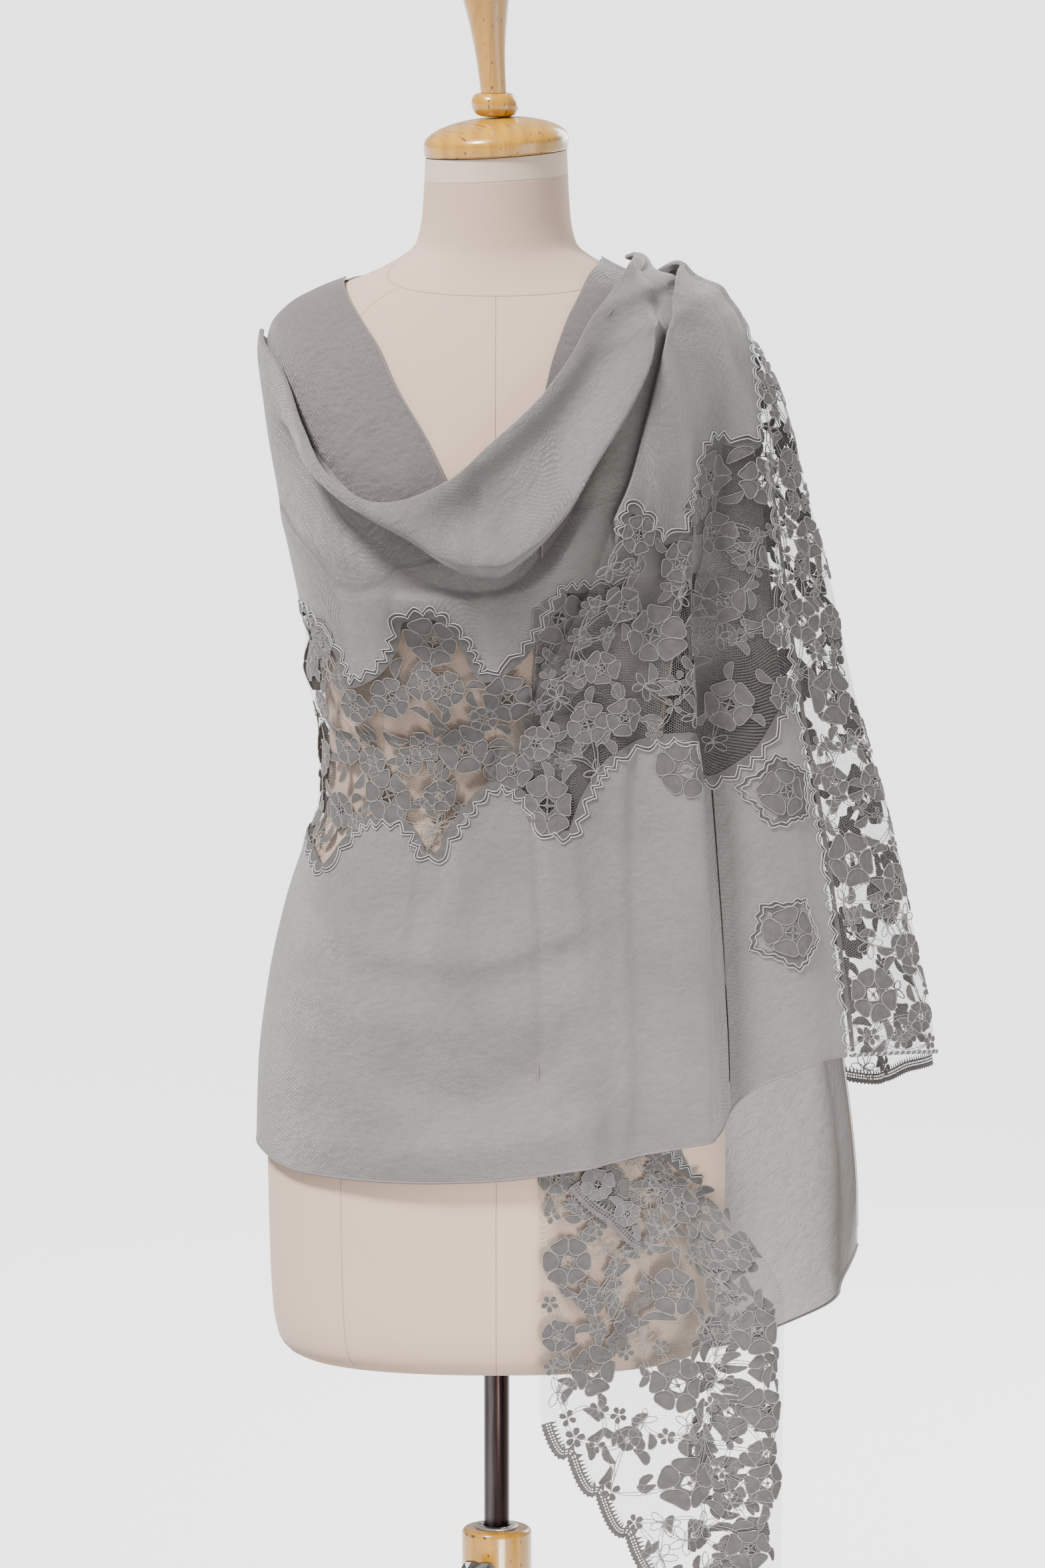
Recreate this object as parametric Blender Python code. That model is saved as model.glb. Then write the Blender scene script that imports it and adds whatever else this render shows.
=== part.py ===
# Long lace shawl wound round a limbless dress form on a steel pole.
# Metres, +Z up, +X to the viewer's right, the front faces -Y. The origin is on the floor, at the
# centre of the base. Cloth is placed by turn, the angle in degrees from the front towards +X, and by
# rise, the height up the form, which past the chest runs on over the shoulders towards the neck.

import math

import bpy
import numpy as np

# driving sizes of the stand
BASE_RADIUS, BASE_HEIGHT = 0.170, 0.018
COLUMN_RADIUS = 0.016
POLE_RADIUS, POLE_CLEARANCE = 0.0093, 0.0006
POLE_FOOT = 0.130
HUB_RADIUS, HUB_FOOT, HUB_TOP = 0.0252, 0.340, 0.420
PLATE_RADIUS, PLATE_HEIGHT = 0.0155, 0.0015
KNOB_TURN, KNOB_HEIGHT, KNOB_RADIUS, KNOB_LOBES = -18.0, 0.388, 0.0165, 6
FLANGE_RADIUS, FLANGE_HEIGHT = 0.0152, 0.008
CAP_RADIUS, CAP_HEIGHT = 0.0512, 0.026
CAP_SLOPE = 0.060
COLLAR_RADIUS, COLLAR_HEIGHT = 0.0167, 0.0165
FINIAL_FOOT_RADIUS, FINIAL_TOP_RADIUS, FINIAL_HEIGHT = 0.0094, 0.0165, 0.068
FINIAL_LEAN = 0.085

# driving sizes of the cloth
CLOTH = 0.0012
SEAM = 0.0003
SEAM_TURN = 0.20
SEAM_RADIUS = 0.07
INNER_STAND_OFF = 0.0042
WRAP_STAND_OFF = 0.0080
LAYER_STEP = 0.0080
RUFFLE_STEP = 0.0026
FALL_REST, FALL_SEAT, FALL_BLEND = 0.0045, 0.0021, 0.002
LIP_DEPTH, LIP_DROP, LIP_RISE = 0.0036, 0.008, 0.0014

# height, half width, depth in front, depth behind, squareness of the section
TORSO = (
    (0.552, 0.1420, 0.092, 0.094, 2.3),
    (0.556, 0.1500, 0.099, 0.101, 2.3),
    (0.565, 0.1570, 0.104, 0.106, 2.3),
    (0.585, 0.1610, 0.107, 0.109, 2.3),
    (0.620, 0.1630, 0.108, 0.112, 2.3),
    (0.700, 0.1645, 0.110, 0.117, 2.3),
    (0.760, 0.1630, 0.107, 0.115, 2.3),
    (0.820, 0.1560, 0.101, 0.106, 2.3),
    (0.880, 0.1430, 0.093, 0.095, 2.3),
    (0.930, 0.1270, 0.086, 0.086, 2.2),
    (0.960, 0.1195, 0.083, 0.083, 2.2),
    (1.000, 0.1195, 0.086, 0.084, 2.2),
    (1.050, 0.1255, 0.097, 0.088, 2.2),
    (1.100, 0.1330, 0.110, 0.094, 2.3),
    (1.140, 0.1410, 0.117, 0.098, 2.4),
    (1.180, 0.1480, 0.114, 0.101, 2.4),
    (1.230, 0.1565, 0.100, 0.102, 2.4),
    (1.268, 0.1600, 0.086, 0.098, 2.3),
    (1.289, 0.1570, 0.076, 0.089, 2.2),
    (1.304, 0.1450, 0.068, 0.080, 2.1),
    (1.317, 0.1220, 0.061, 0.071, 2.1),
    (1.327, 0.0950, 0.056, 0.064, 2.0),
    (1.337, 0.0740, 0.052, 0.058, 2.0),
    (1.350, 0.0570, 0.049, 0.053, 2.0),
    (1.370, 0.0525, 0.0485, 0.051, 2.0),
    (1.414, 0.0500, 0.0490, 0.049, 2.0),
)
TORSO_SIDES = 36
CHEST = 1.20
SHOULDER_CURVE = 0.14

# columns that all the front stretches share: first turn, last turn, how many between
FRONT_TURNS = ((-89.8, -3, 17), (-3, 33, 7), (33, 66, 7), (66, 79, 4), (79, 91, 4))
BAND_START, PANEL_START, SIDE_START, SIDE_BAND_START, SIDE_END = -3, 33, 66, 79, 91
BEHIND_START = 88

# edges of the stretches: turn, rise
NECK_EDGE_LEFT = (
    (-90, 1.322), (-74, 1.316), (-51, 1.295), (-37, 1.262), (-26, 1.230), (-17, 1.194),
    (-10, 1.169), (0, 1.150),
)
COWL_TOP = (
    (-90, 1.268), (-74, 1.257), (-57, 1.226), (-44, 1.198), (-30, 1.181), (-15, 1.194),
    (-1, 1.224), (14, 1.255), (27, 1.284), (39, 1.308), (53, 1.322), (69, 1.332), (90, 1.340),
)
WAIST_BAND_TOP = (
    (-90, 1.088), (-76, 1.096), (-65, 1.084), (-58, 1.068), (-53, 1.048), (-44, 1.056),
    (-37, 1.074), (-31, 1.098), (-21, 1.102), (-12, 1.084), (-4, 1.056), (7, 1.068), (15, 1.090),
    (22, 1.120), (40, 1.120),
)
WAIST_BAND_FOOT = (
    (-90, 0.930), (-76, 0.920), (-67, 0.910), (-60, 0.930), (-53, 0.946), (-42, 0.948),
    (-35, 0.940), (-30, 0.925), (-22, 0.930), (-10, 0.945), (10, 0.950), (40, 0.950),
)
WRAP_TOP = (
    (-90, 0.930), (-76, 0.920), (-67, 0.910), (-60, 0.930), (-53, 0.946), (-42, 0.948),
    (-35, 0.940), (-30, 0.925), (-24, 0.924), (-19, 0.936), (-13, 0.953), (-6, 0.970),
    (2, 0.977), (12, 0.966), (17, 0.946), (26, 0.942), (31, 0.970), (38, 0.996), (46, 1.006),
    (55, 1.010), (61, 0.986), (66, 0.975), (70, 0.990), (76, 1.024), (84, 1.030),
)
PANEL_EDGE = (
    (-6, 0.974), (0, 0.998), (7, 1.021), (12, 1.035), (16, 1.060), (20, 1.073), (25, 1.099),
    (28, 1.116), (33, 1.155), (40, 1.191), (48, 1.235), (57, 1.271), (68, 1.298), (81, 1.311),
    (100, 1.312), (120, 1.306), (140, 1.285),
)
PANEL_BAND_TOP = (
    (30, 1.140), (35, 1.150), (39, 1.176), (43, 1.172), (49, 1.152), (55, 1.156), (59, 1.180),
    (62, 1.206), (68, 1.216), (76, 1.210), (79, 1.216), (85, 1.250), (91, 1.266), (100, 1.268),
    (140, 1.245),
)
HEM = (
    (-90, 0.708), (-80, 0.706), (-60, 0.697), (-33, 0.696), (-2, 0.698), (28, 0.706),
    (53, 0.719), (64, 0.726), (67, 0.745), (70, 0.762), (76, 0.775), (84, 0.773), (92, 0.767),
)
END_LACE_TOP = ((14, 0.735), (40, 0.728), (52, 0.716), (62, 0.690), (76, 0.660))
FIRST_LEFT = 15.0
SHOULDER_FOOT, BACK_UPPER_FOOT = 1.100, 1.140
FIRST_RIGHT = (  # rise, turn
    (0.34, 66), (0.50, 67), (0.60, 67.5), (0.66, 64), (0.735, 58), (0.90, 52), (1.20, 66), (1.36, 90),
)
FIRST_TOP = ((14, 1.235), (26, 1.299), (39, 1.328), (61, 1.347), (90, 1.352))
BACK_EDGE = (  # upper edge of the wrap across the back
    (90, 1.120), (130, 1.150), (180, 1.200), (225, 1.245), (270, 1.268),
)
BACK_BAND_TOP = ((90, 1.060), (140, 1.075), (190, 1.070), (235, 1.082), (270, 1.088))
BACK_BAND_FOOT = ((90, 0.930), (140, 0.925), (190, 0.935), (235, 0.925), (270, 0.930))
BACK_NECK_EDGE = ((90, 1.352), (140, 1.338), (180, 1.332), (220, 1.334), (270, 1.322))
BACK_HEM = ((92, 0.745), (180, 0.715), (270, 0.708))
FAN_FOOT = ((91, 0.757), (98, 0.748), (107, 0.728), (118, 0.735), (136, 0.760))
RUFFLE_FOOT = ((24, 0.690), (34, 0.668), (44, 0.646), (49, 0.640))
FALL_TOP = ((86, 1.215), (120, 1.255), (150, 1.255), (206, 1.190))
FALL_HEM = ((84, 0.640), (100, 0.585), (125, 0.530), (150, 0.545), (180, 0.580), (206, 0.625))

# folds that cross the cloth: turn and rise of the crest, height, reach above, reach below
CROSSING_FOLDS = {
    "cowl roll": (COWL_TOP[2:], 0.0100, 0.020, 0.024),
    "cowl edge": (COWL_TOP, 0.0030, 0.020, 0.020),
    "cowl bag": (
        ((-71, 1.234), (-61, 1.222), (-51, 1.202), (-28, 1.165), (-10, 1.140), (0, 1.138),
         (10, 1.151), (19, 1.172), (28, 1.205), (40, 1.241), (51, 1.272), (63, 1.302)),
        0.0160, 0.026, 0.013,
    ),
    "cowl return": (
        ((-50, 1.112), (-28, 1.120), (-9, 1.126), (7, 1.131), (16, 1.146), (24, 1.172),
         (34, 1.200)),
        0.0080, 0.007, 0.022,
    ),
    "waist crease": (((-84, 1.012), (-62, 1.016), (-40, 1.020), (-8, 1.024)), 0.0060, 0.020, 0.008),
    "waist puff": (((-100, 1.045), (-88, 1.046), (-76, 1.044)), 0.0055, 0.016, 0.022),
    "waist hollow": (((-88, 0.968), (-50, 0.972), (-14, 0.985)), 0.0035, 0.016, 0.016),
    "hip sweep": (((-74, 0.892), (-45, 0.858), (-12, 0.853), (20, 0.872)), 0.0040, 0.018, 0.014),
    "hip sweep lower": (((-76, 0.850), (-48, 0.824), (-11, 0.818), (27, 0.838)), 0.0030, 0.022, 0.016),
    "back sweep": (((120, 0.85), (170, 0.88), (225, 0.93), (262, 0.98)), 0.0045, 0.026, 0.018),
    "back sweep upper": (((125, 1.02), (170, 1.06), (225, 1.13), (262, 1.19)), 0.0050, 0.024, 0.018),
}
# folds that hang: rise and turn of the crest, height, reach in degrees
HANGING_FOLDS = {
    "front soft": (((0.70, 29), (0.80, 31), (0.91, 34)), 0.0035, 5.0),
    "front wide": (((0.70, 50), (0.84, 52), (0.98, 54)), 0.0050, 5.0),
    "panel ridge": (((0.72, 59), (0.90, 58), (1.10, 56), (1.24, 60)), 0.0060, 3.6),
    "panel valley": (((0.72, 67), (0.90, 66), (1.10, 65), (1.22, 68)), -0.0150, 3.6),
    "side ridge": (((0.74, 75), (0.90, 75), (1.10, 76), (1.22, 77)), 0.0050, 3.6),
    "band gather": (((0.98, 40), (1.08, 42), (1.20, 48)), 0.0040, 3.0),
}
FALL_FOLDS = {
    "fall pipe right": (((0.52, 104), (0.80, 106), (1.10, 112), (1.24, 118)), 0.0100, 6.0),
    "fall valley": (((0.52, 119), (0.80, 121), (1.10, 126), (1.24, 130)), -0.0080, 6.0),
    "fall pipe middle": (((0.52, 136), (0.80, 138), (1.10, 142), (1.24, 144)), 0.0110, 7.0),
    "fall pipe left": (((0.52, 168), (0.80, 166), (1.10, 160), (1.24, 154)), 0.0100, 7.0),
    "fall edge": (((0.58, 196), (0.80, 190), (1.10, 176), (1.24, 164)), 0.0060, 5.0),
}
SHOULDER_PLEATS = ((1.290, 0.0030), (1.312, 0.0040), (1.330, 0.0035))  # rise, height
PLEAT_REACH = 0.0055

# how far the outer cloth stands from the axis: rise, then the radius at each turn
FALL_TURNS = (-30, 0, 20, 40, 60, 75, 90, 105, 125, 150, 180, 206)
FALL_RADII = (
    (0.500, 0.05, 0.05, 0.05, 0.05, 0.170, 0.240, 0.318, 0.300, 0.240, 0.185, 0.150, 0.140),
    (0.770, 0.05, 0.05, 0.119, 0.140, 0.174, 0.236, 0.315, 0.290, 0.230, 0.180, 0.145, 0.135),
    (0.840, 0.05, 0.05, 0.117, 0.137, 0.173, 0.229, 0.303, 0.276, 0.220, 0.170, 0.135, 0.125),
    (0.940, 0.05, 0.05, 0.113, 0.133, 0.168, 0.217, 0.281, 0.254, 0.200, 0.150, 0.120, 0.110),
    (1.030, 0.05, 0.05, 0.116, 0.134, 0.163, 0.203, 0.256, 0.232, 0.180, 0.138, 0.110, 0.100),
    (1.120, 0.05, 0.05, 0.118, 0.134, 0.158, 0.192, 0.236, 0.210, 0.160, 0.128, 0.100, 0.100),
    (1.200, 0.05, 0.05, 0.110, 0.128, 0.152, 0.184, 0.214, 0.190, 0.145, 0.115, 0.100, 0.100),
    (1.257, 0.05, 0.05, 0.100, 0.118, 0.146, 0.178, 0.200, 0.184, 0.140, 0.110, 0.100, 0.100),
    (1.300, 0.05, 0.05, 0.080, 0.100, 0.140, 0.170, 0.182, 0.172, 0.130, 0.100, 0.080, 0.080),
    (1.400, 0.05, 0.05, 0.050, 0.050, 0.060, 0.070, 0.080, 0.080, 0.060, 0.050, 0.050, 0.050),
)
# the plain fall behind hangs nearer the form than the side band
BACK_FALL_RADII = (
    (0.500, 0.262, 0.246, 0.195, 0.165, 0.150, 0.148),
    (0.660, 0.261, 0.248, 0.195, 0.162, 0.148, 0.146),
    (0.770, 0.250, 0.236, 0.185, 0.155, 0.140, 0.138),
    (0.940, 0.215, 0.205, 0.160, 0.130, 0.116, 0.110),
    (1.120, 0.195, 0.182, 0.145, 0.122, 0.108, 0.105),
    (1.230, 0.180, 0.176, 0.142, 0.115, 0.105, 0.100),
    (1.300, 0.165, 0.160, 0.125, 0.098, 0.080, 0.080),
)
BACK_FALL_TURNS = (84, 100, 125, 150, 180, 206)

COLOURS = {  # red, green, blue, roughness, metallic
    "wool": (0.38, 0.36, 0.33, 0.75, 0.0),
    "lace": (0.16, 0.14, 0.13, 0.80, 0.0),
    "cover": (0.66, 0.58, 0.51, 0.85, 0.0),
    "varnished_wood": (0.55, 0.27, 0.08, 0.30, 0.0),
    "steel": (0.55, 0.54, 0.52, 0.25, 1.0),
    "black_plastic": (0.015, 0.014, 0.013, 0.40, 0.0),
    "painted_iron": (0.05, 0.048, 0.045, 0.45, 0.0),
}


def along(rows, x, column=1):
    """Smooth value at x read from a short table, with no overshoot between its rows."""
    xs = np.array([row[0] for row in rows], float)
    ys = np.array([row[column] for row in rows], float)
    x = np.clip(x, xs[0], xs[-1])
    slope = np.diff(ys) / np.diff(xs)
    before, after = slope[:-1], slope[1:]
    same = before * after > 0
    tangent = np.empty(len(xs))
    tangent[1:-1] = np.where(same, 2 * before * after / np.where(same, before + after, 1), 0)
    tangent[0], tangent[-1] = slope[0], slope[-1]
    i = np.clip(np.searchsorted(xs, x, side="right") - 1, 0, len(xs) - 2)
    step = xs[i + 1] - xs[i]
    t = (x - xs[i]) / step
    return (
        (1 + 2 * t) * (1 - t) ** 2 * ys[i]
        + t * (1 - t) ** 2 * step * tangent[i]
        + t * t * (3 - 2 * t) * ys[i + 1]
        + t * t * (t - 1) * step * tangent[i + 1]
    )


def smooth_step(x, low, high):
    t = np.clip((x - low) / (high - low), 0, 1)
    return t * t * (3 - 2 * t)


def larger(p, q, blend=0.004):
    """The larger of two radii, rounded where they cross."""
    return 0.5 * (p + q + np.sqrt((p - q) ** 2 + blend**2))


def ray(turn, rise):
    """Direction of a ray out of the form, and the height at which it starts."""
    angle = np.radians(turn)
    lift = np.maximum(rise - CHEST, 0) / SHOULDER_CURVE
    return (
        np.sin(angle) * np.cos(lift),
        -np.cos(angle) * np.cos(lift),
        np.sin(lift),
        np.minimum(rise, CHEST),
    )


def torso_level(x, y, z):
    """Below 1 inside the torso and above 1 outside."""
    half_width = along(TORSO, z, 1)
    depth = np.where(y < 0, along(TORSO, z, 2), along(TORSO, z, 3))
    power = along(TORSO, z, 4)
    level = (np.abs(x) / half_width) ** power + (np.abs(y) / depth) ** power
    return np.where(z > TORSO[-1][0], 9.0, level)


def body_radius(turn, rise):
    """How far along its ray the surface of the torso lies."""
    turn, rise = np.broadcast_arrays(np.asarray(turn, float), np.asarray(rise, float))
    dx, dy, dz, foot = ray(turn, np.maximum(rise, 0.60))
    near = np.zeros(turn.shape)
    far = np.full(turn.shape, 0.30)
    for _ in range(30):
        middle = (near + far) / 2
        inside = torso_level(dx * middle, dy * middle, foot + dz * middle) < 1
        near = np.where(inside, middle, near)
        far = np.where(inside, far, middle)
    return near


def crossing_fold(turn, rise, fold):
    path, height, above, below = fold
    crest = along(path, turn)
    reach = np.where(rise > crest, above, below)
    first, last = path[0][0], path[-1][0]
    fade = smooth_step(turn, first - 6, first + 22) * (1 - smooth_step(turn, last - 16, last + 4))
    if first <= -90:  # a fold that runs on round the left side is not faded at its ends
        fade = 1.0
    return height * fade * np.exp(-(((rise - crest) / reach) ** 2))


def hanging_fold(turn, rise, fold):
    path, height, reach = fold
    crest = along(path, rise)
    fade = 1 - smooth_step(rise, path[-1][0] - 0.03, path[-1][0] + 0.04)
    return height * fade * np.exp(-(((turn - crest) / reach) ** 2))


def pleats(turn, rise):
    """Pleats gathered on the viewer's right shoulder, dying out down the front."""
    gathered = smooth_step(turn, 25, 62)
    total = 0
    for crest, height in SHOULDER_PLEATS:
        total = total + height * np.exp(-(((rise - crest) / PLEAT_REACH) ** 2))
    return gathered * total


def inner_radius(turn, rise):
    return body_radius(turn, rise) + INNER_STAND_OFF


def wrap_radius(turn, rise):
    """The cloth wound round the form: bodice, cowl, waist band and their backs."""
    turn = np.where(np.asarray(turn) > 180, np.asarray(turn) - 360.0, turn)
    folds = pleats(turn, rise)
    for name, fold in CROSSING_FOLDS.items():
        behind = name.startswith("back")
        where = np.where(turn < -99, turn + 360.0, turn) if behind else turn
        folds = folds + crossing_fold(where, rise, fold)
    return body_radius(turn, rise) + WRAP_STAND_OFF + folds


def between_turns(turn, rise, turns, rows):
    """A radius read from a table with a row for each rise and a column for each turn."""
    shape = np.broadcast(turn, rise).shape
    stops = np.array(turns, float)
    where = np.broadcast_to(np.clip(turn, stops[0], stops[-1]), shape)
    stack = np.stack([np.broadcast_to(along(rows, rise, 1 + k), shape) for k in range(len(stops))])
    k = np.clip(np.searchsorted(stops, where, side="right") - 1, 0, len(stops) - 2)
    low = np.take_along_axis(stack, k[None], 0)[0]
    high = np.take_along_axis(stack, k[None] + 1, 0)[0]
    return low + (high - low) * smooth_share((where - stops[k]) / (stops[k + 1] - stops[k]))


def smooth_share(t):
    """Half way between a straight and an eased share, so that columns meet softly."""
    return 0.5 * t + 0.5 * t * t * (3 - 2 * t)


def outer_radius(turn, rise):
    """The outer panel and the cloth that falls beside the form."""
    step = LAYER_STEP * smooth_step(turn, -28, -12) * smooth_step(rise, 0.80, 0.93)
    soft = sum(hanging_fold(turn, rise, HANGING_FOLDS[name]) for name in ("front soft", "front wide"))
    resting = wrap_radius(turn, rise) + step + soft
    free = between_turns(turn, rise, FALL_TURNS, FALL_RADII)
    for fold in HANGING_FOLDS.values():
        free = free + hanging_fold(turn, rise, fold)
    return larger(resting, free)


def back_fall_radius(turn, rise):
    """The plain cloth that falls behind on the right, seated on the wrap along its top edge."""
    free = between_turns(turn, rise, BACK_FALL_TURNS, BACK_FALL_RADII)
    for fold in FALL_FOLDS.values():
        free = free + hanging_fold(turn, rise, fold)
    rest = FALL_REST - (FALL_REST - FALL_SEAT) * smooth_step(rise, 1.12, 1.19)
    return larger(wrap_radius(turn, rise) + rest, free, FALL_BLEND)


def behind_radius(turn, rise):
    """The outer cloth, kept outside the plain fall where it goes round behind."""
    outer = outer_radius(turn, rise)
    apart = larger(outer, back_fall_radius(turn, rise) + LAYER_STEP)
    return np.where(turn > BEHIND_START, apart, outer)


def first_radius(turn, rise):
    """The first end: on the form above, free below, gathered at its outer side."""
    hung = 1 - smooth_step(rise, 0.60, 0.72)
    flare = smooth_step(turn, 42, 70)
    gather = smooth_step(turn, 44, 56) * np.sin(np.radians(turn) * 30) * 0.0055
    body = body_radius(turn, np.maximum(rise, 0.62))
    return body + INNER_STAND_OFF + hung * (0.006 + 0.062 * flare + gather)


def end_lace_foot(turn):
    """Scalloped hem that runs down from the inner corner to the outer side."""
    scallops = 0.007 * (1 - np.abs(np.sin(np.radians(turn - 15) * 14.4)))
    return along(((14, 0.520), (30, 0.470), (45, 0.415), (58, 0.352), (72, 0.345)), turn) + scallops


def position(turn, rise, radius):
    dx, dy, dz, foot = ray(turn, rise)
    return np.stack([dx * radius, dy * radius, foot + dz * radius], -1)


def normals(turn, rise, radius):
    """Outward directions of the surface that a radius function describes."""
    small_turn, small_rise = 0.5, 0.002
    across = position(turn + small_turn, rise, radius(turn + small_turn, rise))
    across = across - position(turn - small_turn, rise, radius(turn - small_turn, rise))
    up = position(turn, rise + small_rise, radius(turn, rise + small_rise))
    up = up - position(turn, rise - small_rise, radius(turn, rise - small_rise))
    normal = np.cross(across, up)
    return normal / np.linalg.norm(normal, axis=-1, keepdims=True)


def shares(count, close=(), reach=0.12, extra=2.0):
    """Evenly spread shares from 0 to 1, closer together near the places in close."""
    fine = np.linspace(0, 1, 401)
    density = np.ones(len(fine))
    for place in close:
        density = density + extra * np.exp(-(((fine - place) / reach) ** 2))
    total = np.concatenate([[0], np.cumsum((density[1:] + density[:-1]) / 2)])
    return np.interp(np.linspace(0, total[-1], count + 1), total, fine)


def patch(columns, rows, left, right, foot, top):
    """Turns and rises of a grid between two side edges and two ends."""
    u = (shares(columns) if isinstance(columns, int) else columns)[:, None]
    v = (shares(rows) if isinstance(rows, int) else rows)[None, :]
    turn = left(1.0) + (right(1.0) - left(1.0)) * u + 0 * v
    rise = foot(turn) + (top(turn) - foot(turn)) * v
    for _ in range(6):
        turn = left(rise) + (right(rise) - left(rise)) * u
        rise = foot(turn) + (top(turn) - foot(turn)) * v
    return turn, rise


def material(name):
    found = bpy.data.materials.get(name)
    if found:
        return found
    red, green, blue, roughness, metallic = COLOURS[name]
    made = bpy.data.materials.new(name)
    made.use_nodes = True
    shader = made.node_tree.nodes["Principled BSDF"]
    shader.inputs["Base Color"].default_value = (red, green, blue, 1)
    shader.inputs["Roughness"].default_value = roughness
    shader.inputs["Metallic"].default_value = metallic
    return made


def add_object(name, points, faces, finish, sharp=35.0):
    mesh = bpy.data.meshes.new(name)
    mesh.from_pydata([tuple(map(float, p)) for p in points], [], faces)
    mesh.validate()
    mesh.shade_smooth()
    mesh.set_sharp_from_angle(angle=math.radians(sharp))
    made = bpy.data.objects.new(name, mesh)
    bpy.context.scene.collection.objects.link(made)
    made.data.materials.append(material(finish))
    return made


def wall(name, turn, rise, radius, finish, lip=None):
    """A closed wall of even thickness on a grid of turns and rises."""
    outer = position(turn, rise, radius(turn, rise))
    inner = outer - normals(turn, rise, radius) * CLOTH
    if lip:
        outer, inner = with_lip(outer, inner, *lip)
    columns, rows = outer.shape[0], outer.shape[1]
    count = columns * rows
    points = np.concatenate([outer.reshape(-1, 3), inner.reshape(-1, 3)])

    def at(i, j, side):
        return side * count + i * rows + j

    faces = []
    for i in range(columns - 1):
        for j in range(rows - 1):
            a, b, c, d = at(i, j, 0), at(i + 1, j, 0), at(i + 1, j + 1, 0), at(i, j + 1, 0)
            faces += [(a, b, c), (a, c, d)]
            a, b, c, d = (k + count for k in (a, b, c, d))
            faces += [(a, c, b), (a, d, c)]
    edge = [(i, 0) for i in range(columns - 1)]
    edge += [(columns - 1, j) for j in range(rows - 1)]
    edge += [(i, rows - 1) for i in range(columns - 1, 0, -1)]
    edge += [(0, j) for j in range(rows - 1, 0, -1)]
    for (i, j), (k, m) in zip(edge, edge[1:] + edge[:1]):
        a, b = at(i, j, 0), at(k, m, 0)
        faces += [(b, a, a + count), (b, a + count, b + count)]
    return add_object(name, points, faces, finish)


def with_lip(outer, inner, depth, drop):
    """Turns the top edge of a wall back under itself, towards the form."""
    edge = outer[:, -1]
    inwards = inner[:, -1] - edge
    inwards = inwards / np.linalg.norm(inwards, axis=-1, keepdims=True)
    down = outer[:, -2] - edge
    down = down / np.linalg.norm(down, axis=-1, keepdims=True)
    outside, inside = [outer], [inner]
    for share_in, fall, skin_in, skin_fall in (
        (0.5 * depth, -LIP_RISE, 0.5 * depth, CLOTH - LIP_RISE),
        (depth, 0.0, depth - CLOTH, 0.0),
        (depth, drop, depth - CLOTH, drop),
    ):
        outside.append((edge + inwards * share_in + down * fall)[:, None])
        inside.append((edge + inwards * skin_in + down * skin_fall)[:, None])
    return np.concatenate(outside, axis=1), np.concatenate(inside, axis=1)


def turned(profile, sides):
    """Points and faces of a solid turned about Z from radius and height pairs, foot to top."""
    points, faces = [], []
    angles = np.arange(sides) * 2 * math.pi / sides
    for radius, height in profile:
        for angle in angles:
            points.append((radius * math.cos(angle), radius * math.sin(angle), height))
    for k in range(len(profile) - 1):
        for i in range(sides):
            j = (i + 1) % sides
            a, b = k * sides + i, k * sides + j
            faces.append((a, b, b + sides, a + sides))
    return points, faces


def closed_turned(profile, sides):
    points, faces = turned(profile, sides)
    top = (len(profile) - 1) * sides
    points += [(0, 0, profile[0][1]), (0, 0, profile[-1][1])]
    low, high = len(points) - 2, len(points) - 1
    for i in range(sides):
        j = (i + 1) % sides
        faces.append((low, j, i))
        faces.append((high, top + i, top + j))
    return points, faces


def ring_turned(profile, sides):
    """A turned ring: its profile is a closed loop, so it keeps a hole through the middle."""
    points, faces = turned(profile, sides)
    last = (len(profile) - 1) * sides
    for i in range(sides):
        j = (i + 1) % sides
        faces.append((last + i, last + j, j, i))
    return points, faces


def make_torso():
    heights = [row[0] for row in TORSO]
    between = [0.660, 0.850, 1.205, 1.250]
    heights = sorted(heights + between)
    angles = np.arange(TORSO_SIDES) * 2 * math.pi / TORSO_SIDES
    points, faces = [], []
    for z in heights:
        half_width, power = float(along(TORSO, z, 1)), float(along(TORSO, z, 4))
        tilt = CAP_SLOPE * float(smooth_step(z, 1.350, 1.414))
        for angle in angles:
            c, s = math.cos(angle), math.sin(angle)
            depth = float(along(TORSO, z, 2 if s < 0 else 3))
            reach = (abs(c) ** power + abs(s) ** power) ** (-1 / power)
            x, y = half_width * c * reach, depth * s * reach
            points.append((x, y, z + tilt * x))
    rings = len(heights)
    for k in range(rings - 1):
        for i in range(TORSO_SIDES):
            j = (i + 1) % TORSO_SIDES
            a, b = k * TORSO_SIDES + i, k * TORSO_SIDES + j
            faces.append((a, b, b + TORSO_SIDES, a + TORSO_SIDES))
    points += [(0, 0, heights[0]), (0, 0, heights[-1])]
    low, high, top = len(points) - 2, len(points) - 1, (rings - 1) * TORSO_SIDES
    for i in range(TORSO_SIDES):
        j = (i + 1) % TORSO_SIDES
        faces.append((low, j, i))
        faces.append((high, top + i, top + j))
    add_object("torso", points, faces, "cover")


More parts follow.
